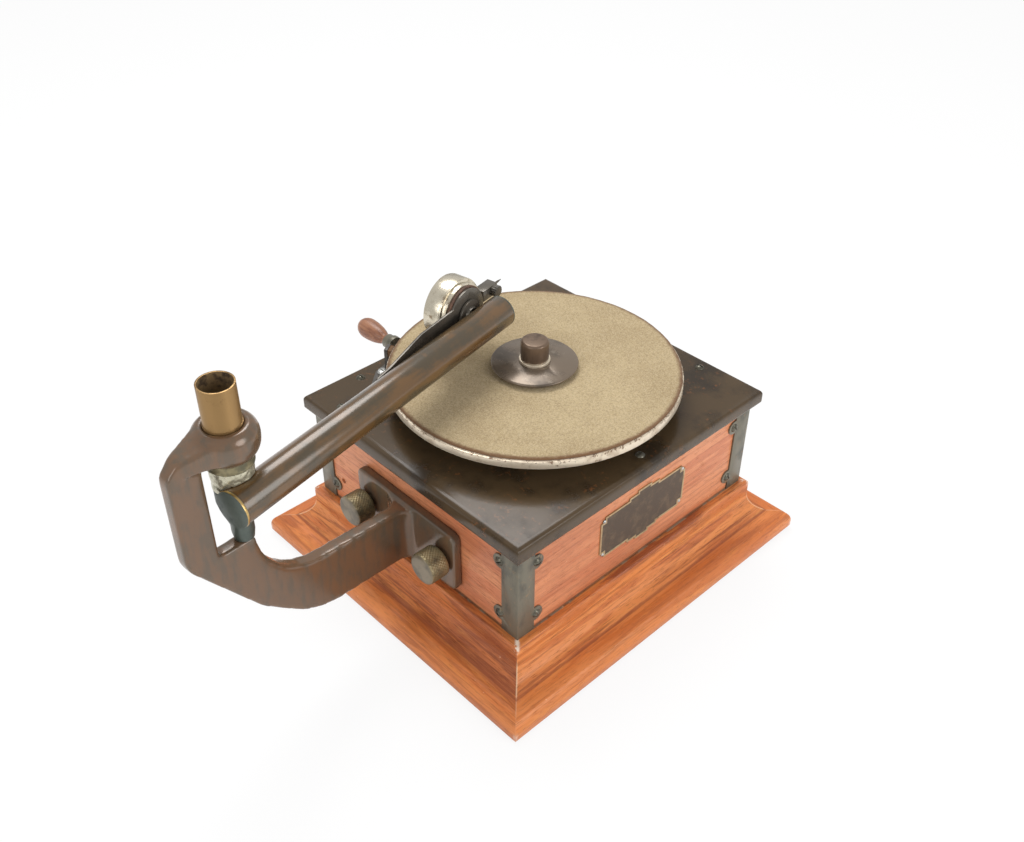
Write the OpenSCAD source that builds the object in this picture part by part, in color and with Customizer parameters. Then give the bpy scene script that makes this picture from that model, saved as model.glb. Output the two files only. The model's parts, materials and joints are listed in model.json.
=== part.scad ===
// Small front-mount disc gramophone, shown without its horn.
// Frame: +Z up, origin at the middle of the base's underside. -Y is the front, where the horn
// bracket is, +X the side with the nameplate, and -X the side with the crank.

/* [Cabinet] */
// Outer width of the boards, along X
cab_w = 203; // [198:1:230]
// Outer depth of the boards, along Y
cab_d = 225; // [220:1:250]
// Height of the boards' top edge
cab_h = 116.3; // [116:0.1:126]
// Thickness of the four boards
board_t = 10; // [8:0.5:11]
// Thickness of the bottom board
bottom_t = 8; // [6:0.5:10]
// Side of the square glue blocks in the corners
block_s = 12; // [10:1:13]
// Height of the glue blocks
block_h = 30; // [20:1:60]
// Height of the hole for the crank, and of the winding shaft in it
crank_z = 80; // [77:0.5:81]
// Place of the winding shaft along Y
crank_y = -33; // [-35:0.5:-31]

/* [Base mouldings] */
// Height of the mouldings
base_h = 45; // [42:1:48]
// How far the slab stands out from the boards
slab_out = 32.8; // [30:0.2:38]
// Height of the slab's flat top
slab_h = 16; // [12:1:17]
// Radius of the slab's upper nose
nose_r = 10; // [6:0.5:11]
// How far out the cove meets the slab
crease_out = 18; // [15:0.5:19]
// How far the band above the cove stands out
band_out = 6.6; // [5:0.1:8]
// Height where the cove meets the band
cove_top = 34; // [30:1:36]

/* [Corner brackets and nameplate] */
// Sheet thickness of the corner brackets
sheet_t = 1.2; // [0.8:0.1:2]
// Width of each wing, measured from the boards' corner
wing_w = 13.4; // [11:0.1:16]
// Distance of the ear screws from the boards' corner
ear_at = 15.3; // [13:0.1:18]
// Radius of the ears
ear_r = 5.4; // [4.5:0.1:6]
// Height of the lower ear screws above the mouldings
ear_low = 12.8; // [9:0.1:16]
// Depth of the upper ear screws below the boards' top
ear_high = 13.4; // [9:0.1:16]
// Width of the nameplate
name_w = 84; // [60:1:100]
// Height of the nameplate
name_h = 43; // [30:1:46]
// Middle of the nameplate along Y
name_y = 3; // [-5:1:10]
// Height of the nameplate's middle
name_z = 82.5; // [78:0.5:86]

/* [Top plate] */
// Full depth of the plate's edge
plate_h = 12; // [11:0.5:14]
// How far the plate overhangs the boards
plate_over = 6.2; // [4:0.1:9]
// Thickness of the metal over the cabinet
plate_skin = 5; // [4:0.5:6]
// Width of the rim that rests on the boards
rim_w = 14; // [12:0.5:15]
// Radius of the upper edge
plate_edge_r = 4.5; // [2:0.5:6]

/* [Turntable] */
// Radius of the turntable
tt_r = 101.6; // [95:0.1:104]
// Gap between the plate and the turntable's rim
tt_gap = 14.1; // [13.5:0.1:17]
// Height of the metal rim
tt_rim_h = 6.6; // [5:0.1:9]
// Thickness of the felt
felt_t = 1.4; // [1:0.1:3]
// Radius of the spindle
spindle_r = 3.5; // [3:0.1:4]
// Radius of the dark label plate
label_r = 30; // [25:1:40]
// Thickness of the label plate
label_t = 4.8; // [2:0.1:6]
// Radius of the bright ring on the label plate
collar_ring_r = 10.8; // [8:0.1:14]
// Height of that ring
collar_ring_h = 2.2; // [1:0.1:4]
// Radius of the record clamp cap
cap_r = 9.7; // [8:0.1:12]
// Height of the record clamp cap
cap_h = 14; // [10:0.5:18]

/* [Horn bracket] */
// Place of the arm's pivot along X
pivot_x = 8; // [4:0.5:10]
// Place of the arm's pivot along Y
pivot_y = -236.5; // [-240:0.5:-233]
// Half width of the mounting pad
pad_hw = 50; // [46:1:54]
// Height of the pad's lower edge
pad_z0 = 52; // [48:1:54]
// Height of the pad's upper edge
pad_z1 = 99; // [97:1:102]
// Thickness of the pad
pad_t = 7; // [5:0.5:9]
// Distance of the thumb screws from the middle
thumb_x = 38; // [34:1:42]
// Height of the thumb screws
thumb_z = 76; // [72:1:80]
// Radius of the thumb screws' heads
thumb_r = 11.4; // [8:0.1:12]
// Length of those heads, with their necks
thumb_head = 17.5; // [12:0.5:22]
// Thickness of the web and column
web_t = 10; // [8:0.5:13]
// Radius of the fillets between web and pad
web_fillet = 10; // [6:1:14]
// Depth of the column along the web
column_d = 20.5; // [18:0.5:23]
// Outer face of the column, from the pad
column_u = 157.5; // [156:0.5:160]
// Height of the ledge that carries the arm
ledge_z = 150; // [148:0.5:152]
// Underside of the collar
collar_z0 = 210; // [208:0.5:212]
// Top of the collar
collar_z1 = 230.5; // [229:0.5:234]
// Radius of the collar
collar_r = 18.5; // [17:0.5:21]

/* [Arm] */
// Height of the arm tube's axis
arm_z = 185.3; // [184:0.1:187]
// Angle of the arm at rest, from straight back towards the crank side
arm_angle = 11.4; // [8:0.1:14]
// Distance of the tube's axis from the pivot, to the side away from the sound box
tube_off = 12; // [10:0.5:12.5]
// Outer radius of the arm tube
arm_r = 11.1; // [10.6:0.1:11.4]
// Wall of the arm tube
arm_wall = 1.2; // [0.8:0.1:2]
// Front end of the tube, behind the pivot
arm_front = 12; // [11:0.5:13]
// Rear end of the tube, from the pivot
arm_rear = 231.5; // [228:0.5:238]
// Thickness of the discs that close the tube
arm_disc_t = 2; // [1:0.5:3]
// Outer radius of the upright horn tube
horn_r = 10.4; // [9:0.1:11]
// Wall of the horn tube
horn_wall = 1; // [0.8:0.1:1.5]
// Top of the horn tube
horn_top = 256; // [245:1:270]
// Radius of the pivot pin
pin_r = 3; // [2.5:0.1:4]

/* [Sound box] */
// Distance of the sound box from the pivot, along the arm
sb_along = 213; // [208:0.5:215]
// Height of the sound box's middle above the arm's axis
sb_up = 2.5; // [2:0.1:3]
// Outer radius of the drum
drum_r = 22.5; // [21:0.5:23.5]
// Radius of the flange behind the drum
flange_r = 20.1; // [18:0.1:21]
// Radius of the dark back plate
strap_disc_r = 17.8; // [16:0.1:19]
// Distance of the back plate from the arm's axis
strap_off = 14; // [13.5:0.1:15]
// Thickness of the strap and back plate
strap_t = 1.6; // [0.8:0.1:2]
// Distance of the drum's front face from the arm's axis
drum_front = 34; // [32:0.5:37]
// Outer radius of the throat
throat_r = 6; // [5:0.1:7]

/* [Crank] */
// Distance from the winding shaft to the knob
crank_len = 48; // [44:1:50]
// Radius of the winding shaft
shaft_r = 4; // [3.5:0.1:4.5]
// Distance of the crank arm's inner face from the boards
crank_out = 10.5; // [10:0.5:14]
// Length of the wooden knob
knob_len = 32; // [26:1:38]
// Largest radius of the knob
knob_r = 7.8; // [6.5:0.1:9]

/* [Motor] */
// Height of the lower frame plate's top face
low_plate_z = 17; // [15:0.5:19]
// Height of the upper frame plate's underside
high_plate_z = 92; // [91.5:0.5:94]
// Thickness of the frame plates
frame_t = 3; // [2.5:0.5:4]
// Module of the spur gears
gear_m = 1; // [1:0.05:1.02]
// Height of the spring barrel's drum
barrel_h = 34; // [28:1:36]
// Wall of the spring barrel
barrel_wall = 1.6; // [1.2:0.1:2.4]
// Thickness of the mainspring's strip
spring_t = 0.6; // [0.4:0.1:0.8]
// Radius at which the governor balls run at rest
ball_at = 14.5; // [12:0.5:15.5]
// Radius of the governor balls
ball_r = 5.5; // [4:0.5:6]

/* [Clearances] */
// Radial clearance of a running fit
run = 0.05; // [0.02:0.01:0.09]
// Gap between faces that slide past each other
gap = 0.3; // [0.2:0.05:0.5]

/* [Hidden] */
$fn = 64;
cut = 1; // how far a cutting solid runs past a face

hw = cab_w / 2;
hd = cab_d / 2;
plate_top = cab_h + plate_h;
plate_under = plate_top - plate_skin;

oak = "peru";
gunmetal = "dimgray";
japan = "darkslategray";
nickel = "silver";
brass_c = "goldenrod";
bronze = "sienna";
steel = "lightslategray";

// Points of an arc from p to q whose middle stands s to the left of the line from p to q
function arc(p, q, s, n = 8) = let (
    c = norm(q - p), t = (q - p) / c, left = [-t[1], t[0]],
    r = (c * c / 4 + s * s) / (2 * s), o = (p + q) / 2 + (s - r) * left,
    h = asin(c / 2 / abs(r)))
  [for (i = [0 : n]) let (a = -h + 2 * h * i / n) o + r * cos(a) * left + abs(r) * sin(a) * t];

// Outline through corners [x, y, radius], with each corner rounded to its radius
function rounded(v, n = 7) = [for (i = [0 : len(v) - 1]) let (
    m = len(v), c = [v[i][0], v[i][1]], p = [v[(i + m - 1) % m][0], v[(i + m - 1) % m][1]],
    q = [v[(i + 1) % m][0], v[(i + 1) % m][1]], r = v[i][2],
    a = (p - c) / norm(p - c), b = (q - c) / norm(q - c), w = acos(a * b))
  each r == 0 ? [c] : let (
    o = c + (a + b) / norm(a + b) * r / sin(w / 2),
    s = c + a * r / tan(w / 2) - o, e = c + b * r / tan(w / 2) - o, turn = 180 - w)
  [for (k = [0 : n]) o + (s * sin((1 - k / n) * turn) + e * sin(k / n * turn)) / sin(turn)]];

// Outline of a spur gear with a tooth's middle on the +X axis, its flanks eased for backlash
function gear_points(n, m) = let (r = m * n / 2, p = 360 / n)
  [for (i = [0 : n - 1]) each [for (q = [[-0.26, -1.15], [-0.19, 0], [-0.09, 0.85],
    [0.09, 0.85], [0.19, 0], [0.26, -1.15]]) (r + q[1] * m) * [cos((i + q[0]) * p),
    sin((i + q[0]) * p)]]];

module at_corners(x, y) for (sx = [-1, 1], sy = [-1, 1]) translate([sx * x, sy * y, 0]) children();
module four_ways() for (sx = [0, 1], sy = [0, 1]) mirror([sx, 0, 0]) mirror([0, sy, 0]) children();
module ring(r_out, r_in, h) difference() {
  cylinder(r = r_out, h = h);
  translate([0, 0, -cut]) cylinder(r = r_in, h = h + 2 * cut);
}
// Side outline (distance out along -Y, height) made t thick across X
module side_slab(points, t) translate([-t / 2, 0, 0]) rotate([90, 0, 90])
  linear_extrude(t) polygon([for (p = points) [-p[0], p[1]]]);

// Round-head screw: the head's seat at z = 0, its shank below
screw_head_r = 3.2;
screw_head_h = 1.9;
screw_shank_r = 1.5;
screw_len = 8;
module round_screw(turn = 0) {
  ball = (screw_head_r * screw_head_r + screw_head_h * screw_head_h) / (2 * screw_head_h);
  difference() {
    intersection() {
      translate([0, 0, screw_head_h - ball]) sphere(r = ball);
      cylinder(r = screw_head_r + cut, h = screw_head_h + cut);
    }
    rotate([0, 0, turn]) translate([-screw_head_r * 2, -0.4, screw_head_h - 0.9])
      cube([screw_head_r * 4, 0.8, 2]);
  }
  translate([0, 0, -screw_len]) cylinder(r = screw_shank_r, h = screw_len);
}
module screw_hole(depth) translate([0, 0, -depth]) cylinder(r = screw_shank_r + run, h = depth + cut);

// Base mouldings, mitred at the corners
foot_r = 2;
band_r = 2;
round_rise = 0.293; // rise of a quarter circle over its chord, as a share of its radius
cove_sag = 0.15 * norm([crease_out - band_out, cove_top - slab_h]);
moulding = concat([[0, 0]],
  arc([slab_out - foot_r, 0], [slab_out, foot_r], -round_rise * foot_r, 4),
  arc([slab_out, slab_h - nose_r], [slab_out - nose_r, slab_h], -round_rise * nose_r),
  [[crease_out + 0.5, slab_h]],
  arc([crease_out, slab_h + 0.4], [band_out, cove_top], cove_sag),
  arc([band_out, base_h - band_r], [band_out - band_r, base_h], -round_rise * band_r, 4),
  [[0, base_h]]);
module rail(half, face) intersection() {
  far = slab_out + cut;
  translate([0, -face, 0]) side_slab(moulding, 2 * (half + slab_out));
  linear_extrude(base_h)
    polygon([[-half, -face], [half, -face], [half + far, -face - far], [-half - far, -face - far]]);
}
module base_rails() color(oak) {
  for (a = [0, 180]) rotate([0, 0, a]) rail(hw, hd);
  for (a = [90, 270]) rotate([0, 0, a]) rail(hd, hw);
}

// Heights of the ear screws, and their places on the bracket in the corner of +X and +Y
ear_zs = [base_h + ear_low, cab_h - ear_high];
module at_ears() for (z = ear_zs) {
  translate([hw - ear_at, hd + sheet_t, z]) rotate([-90, 0, 0]) children();
  translate([hw + sheet_t, hd - ear_at, z]) rotate([0, 90, 0]) children();
}
module ear_holes() four_ways() at_ears() screw_hole(screw_len);
// Places of the round-head screws on the top plate, over the boards' middles
plate_screw_xy = [[hw - board_t / 2, 1.4], [-hw + board_t / 2, -77], [-78, -hd + board_t / 2],
  [-hw + board_t / 2, 75], [-40, hd - board_t / 2], [60, hd - board_t / 2]];
module at_plate_screws() for (p = plate_screw_xy) translate([p[0], p[1], plate_top]) children();
plate_screw_len = plate_h + 14;
module plate_screw_holes() at_plate_screws() screw_hole(plate_screw_len);

// Speed screw behind the small hole in the front
speed_x = board_t + 13.5 - hw;
speed_z = 64.6;
speed_r = 2;
module speed_bore() translate([speed_x, -hd - cut, speed_z]) rotate([-90, 0, 0])
  cylinder(r = speed_r + run, h = cab_d);
thumb_shank_r = 3;
module thumb_bores(r) for (s = [-1, 1]) translate([s * thumb_x, -hd - pad_t - cut, thumb_z])
  rotate([-90, 0, 0]) cylinder(r = r, h = pad_t + board_t + 2 * cut);

module board_front() color(oak) difference() {
  translate([-hw, -hd, 0]) cube([cab_w, board_t, cab_h]);
  thumb_bores(thumb_shank_r + run);
  speed_bore();
  ear_holes();
  plate_screw_holes();
}
module board_back() color(oak) difference() {
  translate([-hw, hd - board_t, 0]) cube([cab_w, board_t, cab_h]);
  ear_holes();
  plate_screw_holes();
}
bush_r = 7;
module board_left() color(oak) difference() {
  translate([-hw, -hd + board_t, 0]) cube([board_t, cab_d - 2 * board_t, cab_h]);
  translate([-hw - cut, crank_y, crank_z]) rotate([0, 90, 0]) cylinder(r = bush_r, h = board_t + 2 * cut);
  ear_holes();
  plate_screw_holes();
}
module board_right() color(oak) difference() {
  translate([hw - board_t, -hd + board_t, 0]) cube([board_t, cab_d - 2 * board_t, cab_h]);
  ear_holes();
  plate_screw_holes();
  name_pin_holes();
}
block_x = hw - board_t - block_s / 2;
block_y = hd - board_t - block_s / 2;
bottom_screw_r = 2;
bottom_screw_len = 24;
module bottom_board() color(oak) difference() {
  translate([-hw + board_t, -hd + board_t, 0]) cube([cab_w - 2 * board_t, cab_d - 2 * board_t, bottom_t]);
  at_corners(block_x, block_y) {
    translate([0, 0, -cut]) cylinder(r = bottom_screw_r + run, h = bottom_t + 2 * cut);
    translate([0, 0, -cut]) cylinder(r = bottom_screw_r * 2 + run, h = cut + 2);
  }
}
module corner_blocks() color(oak) difference() {
  at_corners(block_x, block_y) translate([-block_s / 2, -block_s / 2, bottom_t])
    cube([block_s, block_s, block_h]);
  at_corners(block_x, block_y) cylinder(r = bottom_screw_r + run, h = bottom_screw_len);
}
module bottom_screws() color(steel) at_corners(block_x, block_y) difference() {
  union() {
    translate([0, 0, 0.4]) cylinder(r = bottom_screw_r * 2, h = 1.6);
    translate([0, 0, 0.4]) cylinder(r = bottom_screw_r, h = bottom_screw_len - 1);
  }
  translate([-bottom_screw_r * 2 - cut, -0.4, 0]) cube([bottom_screw_r * 4 + 2 * cut, 0.8, 1.2]);
}

// Corner brackets: a wing on each face of the corner, each with two eared ends
module wing() difference() {
  linear_extrude(sheet_t) {
    translate([0, base_h]) square([wing_w, cab_h - base_h]);
    for (z = ear_zs) {
      translate([ear_at, z]) circle(r = ear_r);
      translate([0, z - ear_r]) square([ear_at, 2 * ear_r]);
    }
  }
  for (z = ear_zs) translate([ear_at, z, -cut]) cylinder(r = screw_shank_r + run, h = sheet_t + 2 * cut);
}
module corner_brackets() color(gunmetal) four_ways() {
  translate([hw, hd + sheet_t, 0]) rotate([90, 0, 0]) mirror([1, 0, 0]) wing();
  translate([hw, hd, 0]) rotate([90, 0, 90]) mirror([1, 0, 0]) wing();
  translate([hw, hd, base_h]) cube([sheet_t, sheet_t, cab_h - base_h]);
}
module bracket_screws() color(gunmetal) four_ways() at_ears() round_screw(35);

name_t = 1;
name_pin_r = 0.8;
name_ear = 4;
module at_name_pins() for (sy = [-1, 1], sz = [-1, 1])
  translate([hw + name_t, name_y + sy * (name_w / 2 - 3), name_z + sz * (name_h / 2 - name_ear - 3)])
    rotate([0, 90, 0]) children();
module name_pin_holes() at_name_pins() translate([0, 0, -6]) cylinder(r = name_pin_r, h = 6 + cut);
// Nameplate with stepped corners and a small crest above and below, left bare
module nameplate() color("darkgoldenrod") difference() {
  translate([hw, name_y, name_z]) rotate([90, 0, 90]) linear_extrude(name_t) {
    square([name_w, name_h - 4 * name_ear], center = true);
    square([name_w - 2 * name_ear, name_h - 2 * name_ear], center = true);
    square([name_w * 0.36, name_h - name_ear], center = true);
    square([name_w * 0.16, name_h], center = true);
  }
  name_pin_holes();
}
module nameplate_pins() color(brass_c) at_name_pins() {
  cylinder(r = 1.4, h = 0.6);
  translate([0, 0, -6]) cylinder(r = name_pin_r, h = 6);
}

// Top plate: a shallow pan turned over, its edge a soft nose, with a bearing boss for the spindle
plate_hx = hw + plate_over;
plate_hy = hd + plate_over;
boss_r = 9;
boss_h = 5;
brake_xy = [-85.3, -66];
brake_screw_r = 2;
function edge_outline(h) = rounded([[-h, cab_h, 2], [h, cab_h, 2], [h, plate_top, plate_edge_r],
  [-h, plate_top, plate_edge_r]]);
module top_plate() color(japan) difference() {
  union() {
    difference() {
      intersection() {
        side_slab(edge_outline(plate_hy), 2 * plate_hx);
        rotate([0, 0, 90]) side_slab(edge_outline(plate_hx), 2 * plate_hy);
      }
      translate([-plate_hx + rim_w, -plate_hy + rim_w, cab_h - cut])
        cube([2 * (plate_hx - rim_w), 2 * (plate_hy - rim_w), plate_under - cab_h + cut]);
    }
    translate([0, 0, plate_under - boss_h]) cylinder(r = boss_r, h = boss_h + 1);
  }
  translate([0, 0, plate_under - boss_h - cut])
    cylinder(r = spindle_r + run, h = plate_skin + boss_h + 2 * cut);
  translate([brake_xy[0], brake_xy[1], plate_top - 4]) cylinder(r = brake_screw_r + run, h = 4 + cut);
  plate_screw_holes();
}
module plate_screws() color(gunmetal) at_plate_screws() {
  round_screw(20);
  translate([0, 0, -plate_screw_len + 1]) cylinder(r = screw_shank_r, h = plate_screw_len - 1);
}

module crank_escutcheon() color(gunmetal) difference() {
  union() {
    translate([-hw - 2, crank_y, crank_z]) rotate([0, 90, 0]) cylinder(r = 14, h = 2);
    translate([-hw - 2, crank_y, crank_z]) rotate([0, 90, 0]) cylinder(r = bush_r, h = board_t + 2);
  }
  translate([-hw - 2 - cut, crank_y, crank_z]) rotate([0, 90, 0])
    cylinder(r = shaft_r + run, h = board_t + 2 + 2 * cut);
}

// Horn bracket: web frame has its origin on the pad's face, and its -Y runs out along the web
pad_face = hd + pad_t;
lean = atan2(pivot_x, -pivot_y - pad_face);
pivot_u = norm([pivot_x, -pivot_y - pad_face]);
module web_frame() translate([0, -pad_face, 0]) rotate([0, 0, lean]) children();
lug_in = pivot_u - 3.8;
neck_top = collar_z1 - 3;
neck_under = collar_z0 + 4.5;
c_outline = rounded([[-3, pad_z0 + 3, 0], [80, 61.5, 60], [116, 94.3, 50], [column_u, 153, 20],
  [column_u, neck_top - 11.5, 10], [column_u - 8, neck_top - 3.5, 8], [pivot_u + 16, neck_top, 4],
  [pivot_u, neck_top, 0], [pivot_u, collar_z0 + 1.5, 0], [column_u - column_d, neck_under, 4],
  [column_u - column_d, ledge_z, 2.5], [lug_in, ledge_z, 1.5], [lug_in - 6.5, 106, 48],
  [-3, pad_z1 - 2.3, 0]]);
neck_plan = [[-collar_r + 4, pivot_u + 4], [-web_t / 2, column_u - 5], [-web_t / 2, column_u],
  [web_t / 2, column_u], [web_t / 2, column_u - 5], [collar_r - 4, pivot_u + 4]];
pin_depth = 14;
pad_corner_r = 5;
module horn_bracket() color(bronze) difference() {
  union() {
    translate([0, -pad_face, 0]) rotate([-90, 0, 0]) linear_extrude(pad_t)
      polygon(rounded([[-pad_hw, -pad_z0, pad_corner_r], [-pad_hw, -pad_z1, pad_corner_r],
        [pad_hw, -pad_z1, pad_corner_r], [pad_hw, -pad_z0, pad_corner_r]]));
    web_frame() {
      side_slab(c_outline, web_t);
      intersection() {
        side_slab(c_outline, web_t + 2 * web_fillet);
        difference() {
          translate([-web_t / 2 - web_fillet, -web_fillet, pad_z0]) cube([web_t + 2 * web_fillet,
            web_fillet + 0.5, pad_z1 - pad_z0]);
          for (s = [-1, 1]) translate([s * (web_t / 2 + web_fillet), -web_fillet, pad_z0 - cut])
            cylinder(r = web_fillet, h = pad_z1 - pad_z0 + 2 * cut);
        }
      }
      translate([0, -pivot_u, 0]) rotate_extrude() polygon(concat([[0, collar_z0]],
        arc([collar_r - 4.5, collar_z0], [collar_r, collar_z1 - 9.5], -1.4, 5),
        arc([collar_r, collar_z1 - 9.5], [collar_r - 4.5, collar_z1], -1.6, 5), [[0, collar_z1]]));
      intersection() {
        translate([0, 0, collar_z0]) linear_extrude(collar_z1 - collar_z0)
          polygon([for (p = neck_plan) [p[0], -p[1]]]);
        side_slab(rounded([[pivot_u, collar_z0 + 1, 0], [column_u - column_d, neck_under - 0.4, 0],
          [column_u - 2, neck_under - 0.4, 0], [column_u - 2, neck_top - 12, 0],
          [column_u - 9, neck_top - 4, 8], [pivot_u + 16, neck_top - 0.4, 4],
          [pivot_u, neck_top - 0.4, 0]]), 2 * collar_r);
      }
    }
  }
  translate([pivot_x, pivot_y, collar_z0 - cut])
    cylinder(r = horn_body_r + run, h = collar_z1 - collar_z0 + 2 * cut);
  translate([pivot_x, pivot_y, ledge_z - pin_depth]) cylinder(r = pin_r + run, h = pin_depth + cut);
  thumb_bores(thumb_shank_r + run);
}
thumb_neck = 4;
thumb_ridges = 48;
// Outline of a milled edge with n ridges, each as deep as depth
function milled(r, n, depth) = [for (i = [0 : 2 * n - 1])
  (r - (i % 2) * depth) * [cos(i * 180 / n), sin(i * 180 / n)]];
module thumb_screw(s) color(brass_c) translate([s * thumb_x, -pad_face, thumb_z]) rotate([90, 0, 0]) {
  translate([0, 0, gap]) cylinder(r = thumb_shank_r + 1.5, h = thumb_neck - gap);
  translate([0, 0, thumb_neck]) linear_extrude(thumb_head - thumb_neck - 1)
    polygon(milled(thumb_r, thumb_ridges, 0.35));
  translate([0, 0, thumb_head - 1]) cylinder(r1 = thumb_r - 0.4, r2 = thumb_r - 1.4, h = 1);
  translate([0, 0, -pad_t - board_t - 2]) cylinder(r = thumb_shank_r, h = pad_t + board_t + 3);
}
module thumb_screw_left() thumb_screw(-1);
module thumb_screw_right() thumb_screw(1);

// Turntable stack, from the rim's lower edge up
rim_z0 = plate_top + tt_gap;
felt_z0 = rim_z0 + tt_rim_h;
felt_top = felt_z0 + felt_t;
label_top = felt_top + label_t;
ring_top = label_top + collar_ring_h;
cap_z0 = ring_top + gap;
hub_r = 12;
hub_z0 = plate_top + 4;
hub_flange_t = 4;
module turntable() color(nickel) difference() {
  rotate_extrude($fn = 128) {
    translate([0, felt_z0 - 2.2]) square([tt_r - 0.6, 2.2]);
    translate([tt_r - 3, rim_z0]) square([2.4, tt_rim_h]);
    translate([tt_r - 3, rim_z0 + 0.6]) square([3, tt_rim_h - 1.2]);
    translate([0, hub_z0]) square([hub_r, felt_z0 - hub_z0]);
    translate([0, felt_z0 - hub_flange_t]) square([2 * hub_r, hub_flange_t]);
  }
  translate([0, 0, plate_top]) cylinder(r = spindle_r + run, h = 40);
}
module turntable_felt() color("tan") translate([0, 0, felt_z0])
  ring(tt_r - 0.8, spindle_r + run, felt_t, $fn = 128);
module label_plate() color("dimgray") translate([0, 0, felt_top]) difference() {
  union() {
    cylinder(r1 = label_r - 4, r2 = label_r, h = label_t - 1.6);
    translate([0, 0, label_t - 1.6]) cylinder(r = label_r, h = 0.8);
    translate([0, 0, label_t - 0.8]) cylinder(r1 = label_r, r2 = label_r - 1.2, h = 0.8);
  }
  translate([0, 0, -cut]) cylinder(r = spindle_r + run, h = label_t + 2 * cut);
}
module spindle_collar() color(nickel) translate([0, 0, label_top])
  ring(collar_ring_r, spindle_r + run, collar_ring_h);
module clamp_cap() color(bronze) translate([0, 0, cap_z0]) difference() {
  union() {
    cylinder(r = cap_r, h = cap_h - 1.2);
    translate([0, 0, cap_h - 1.2]) cylinder(r1 = cap_r, r2 = cap_r - 1.4, h = 1.2);
  }
  translate([0, 0, -cut]) cylinder(r = spindle_r + run, h = cap_h - 3 + cut);
}
spindle_foot_r = 2.5;
spindle_foot_z = low_plate_z - 1.5;
module spindle() color(steel) {
  translate([0, 0, low_plate_z + 1]) cylinder(r = spindle_r, h = cap_z0 + cap_h - 4 - low_plate_z - 1);
  translate([0, 0, spindle_foot_z]) cylinder(r = spindle_foot_r, h = 4);
}

// Arm frame: origin on the pivot at the height of the tube's axis, +Y along the tube, -X to the
// sound box. The tube itself lies tube_off beside the pivot.
module arm_frame() translate([pivot_x, pivot_y, arm_z]) rotate([0, 0, arm_angle]) children();
arm_in = arm_r - arm_wall;
strap_screw_y = sb_along - 89.5;
module along_tube(r, y0, y1) translate([tube_off, y0, 0]) rotate([-90, 0, 0]) cylinder(r = r, h = y1 - y0);
// The horn tube is a little thicker below the free end that takes the horn's elbow
horn_step = 0.3;
horn_body_r = horn_r + horn_step;
horn_bore_r = horn_r - horn_wall;
horn_foot = 3;
port_r = horn_bore_r - 0.4;
// Box frame: origin on the tube's axis line, +X up, +Y along the tube, +Z away from the tube
module box_frame() arm_frame() translate([tube_off, sb_along, sb_up]) rotate([0, -90, 0]) children();
module arm_tube() color(bronze) difference() {
  arm_frame() difference() {
    along_tube(arm_r, -arm_front, arm_rear);
    along_tube(arm_in, -arm_front - cut, arm_rear + cut);
    translate([0, 0, horn_foot + 0.2]) cylinder(r = port_r, h = arm_r + cut);
    translate([tube_off, strap_screw_y, 0]) rotate([0, -90, 0]) cylinder(r = 1.5 + run, h = arm_r + cut);
  }
  box_frame() cylinder(r = throat_r, h = arm_r + cut);
}
module arm_front_plug() color(japan) arm_frame() {
  along_tube(arm_r + 0.5, -arm_front - arm_disc_t, -arm_front);
  along_tube(arm_in, -arm_front, -arm_front + 1.2);
}
module arm_rear_cap() color(japan) arm_frame() {
  along_tube(arm_r, arm_rear, arm_rear + arm_disc_t / 2);
  along_tube(arm_in, arm_rear - 4, arm_rear);
}
// Heights in the arm frame
flange_top = collar_z0 - gap - arm_z;
shoulder = collar_z1 + 0.5 - arm_z;
solder_top = flange_top - 5.6;
module horn_tube() color(brass_c) arm_frame() difference() {
  union() {
    translate([0, 0, horn_foot]) cylinder(r = horn_body_r, h = shoulder - horn_foot);
    translate([0, 0, horn_foot]) cylinder(r = horn_r, h = horn_top - arm_z - horn_foot);
  }
  translate([0, 0, horn_foot - cut]) cylinder(r = horn_bore_r, h = horn_top);
  along_tube(arm_r, -3 * arm_r, 3 * arm_r);
}
module horn_flange() color(brass_c) arm_frame() difference() {
  union() {
    translate([0, 0, solder_top]) cylinder(r = horn_body_r + 1.4, h = flange_top - solder_top);
    translate([0, 0, flange_top - 4.4]) cylinder(r = horn_body_r + 2.4, h = 4.4);
    translate([0, 0, flange_top - 5.2]) cylinder(r = horn_body_r + 2.9, h = 1);
  }
  translate([0, 0, solder_top - cut]) cylinder(r = horn_body_r, h = 20);
}
module solder_joint() color(nickel) arm_frame() difference() {
  translate([0, 0, horn_foot])
    cylinder(r1 = horn_body_r + 1.2, r2 = horn_body_r + 1.9, h = solder_top - horn_foot);
  translate([0, 0, horn_foot - cut]) cylinder(r = horn_body_r, h = 60);
  along_tube(arm_r, -arm_front, 3 * arm_r);
  along_tube(arm_r + 0.5, -arm_front - arm_disc_t, -arm_front + 0.01);
}
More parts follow.
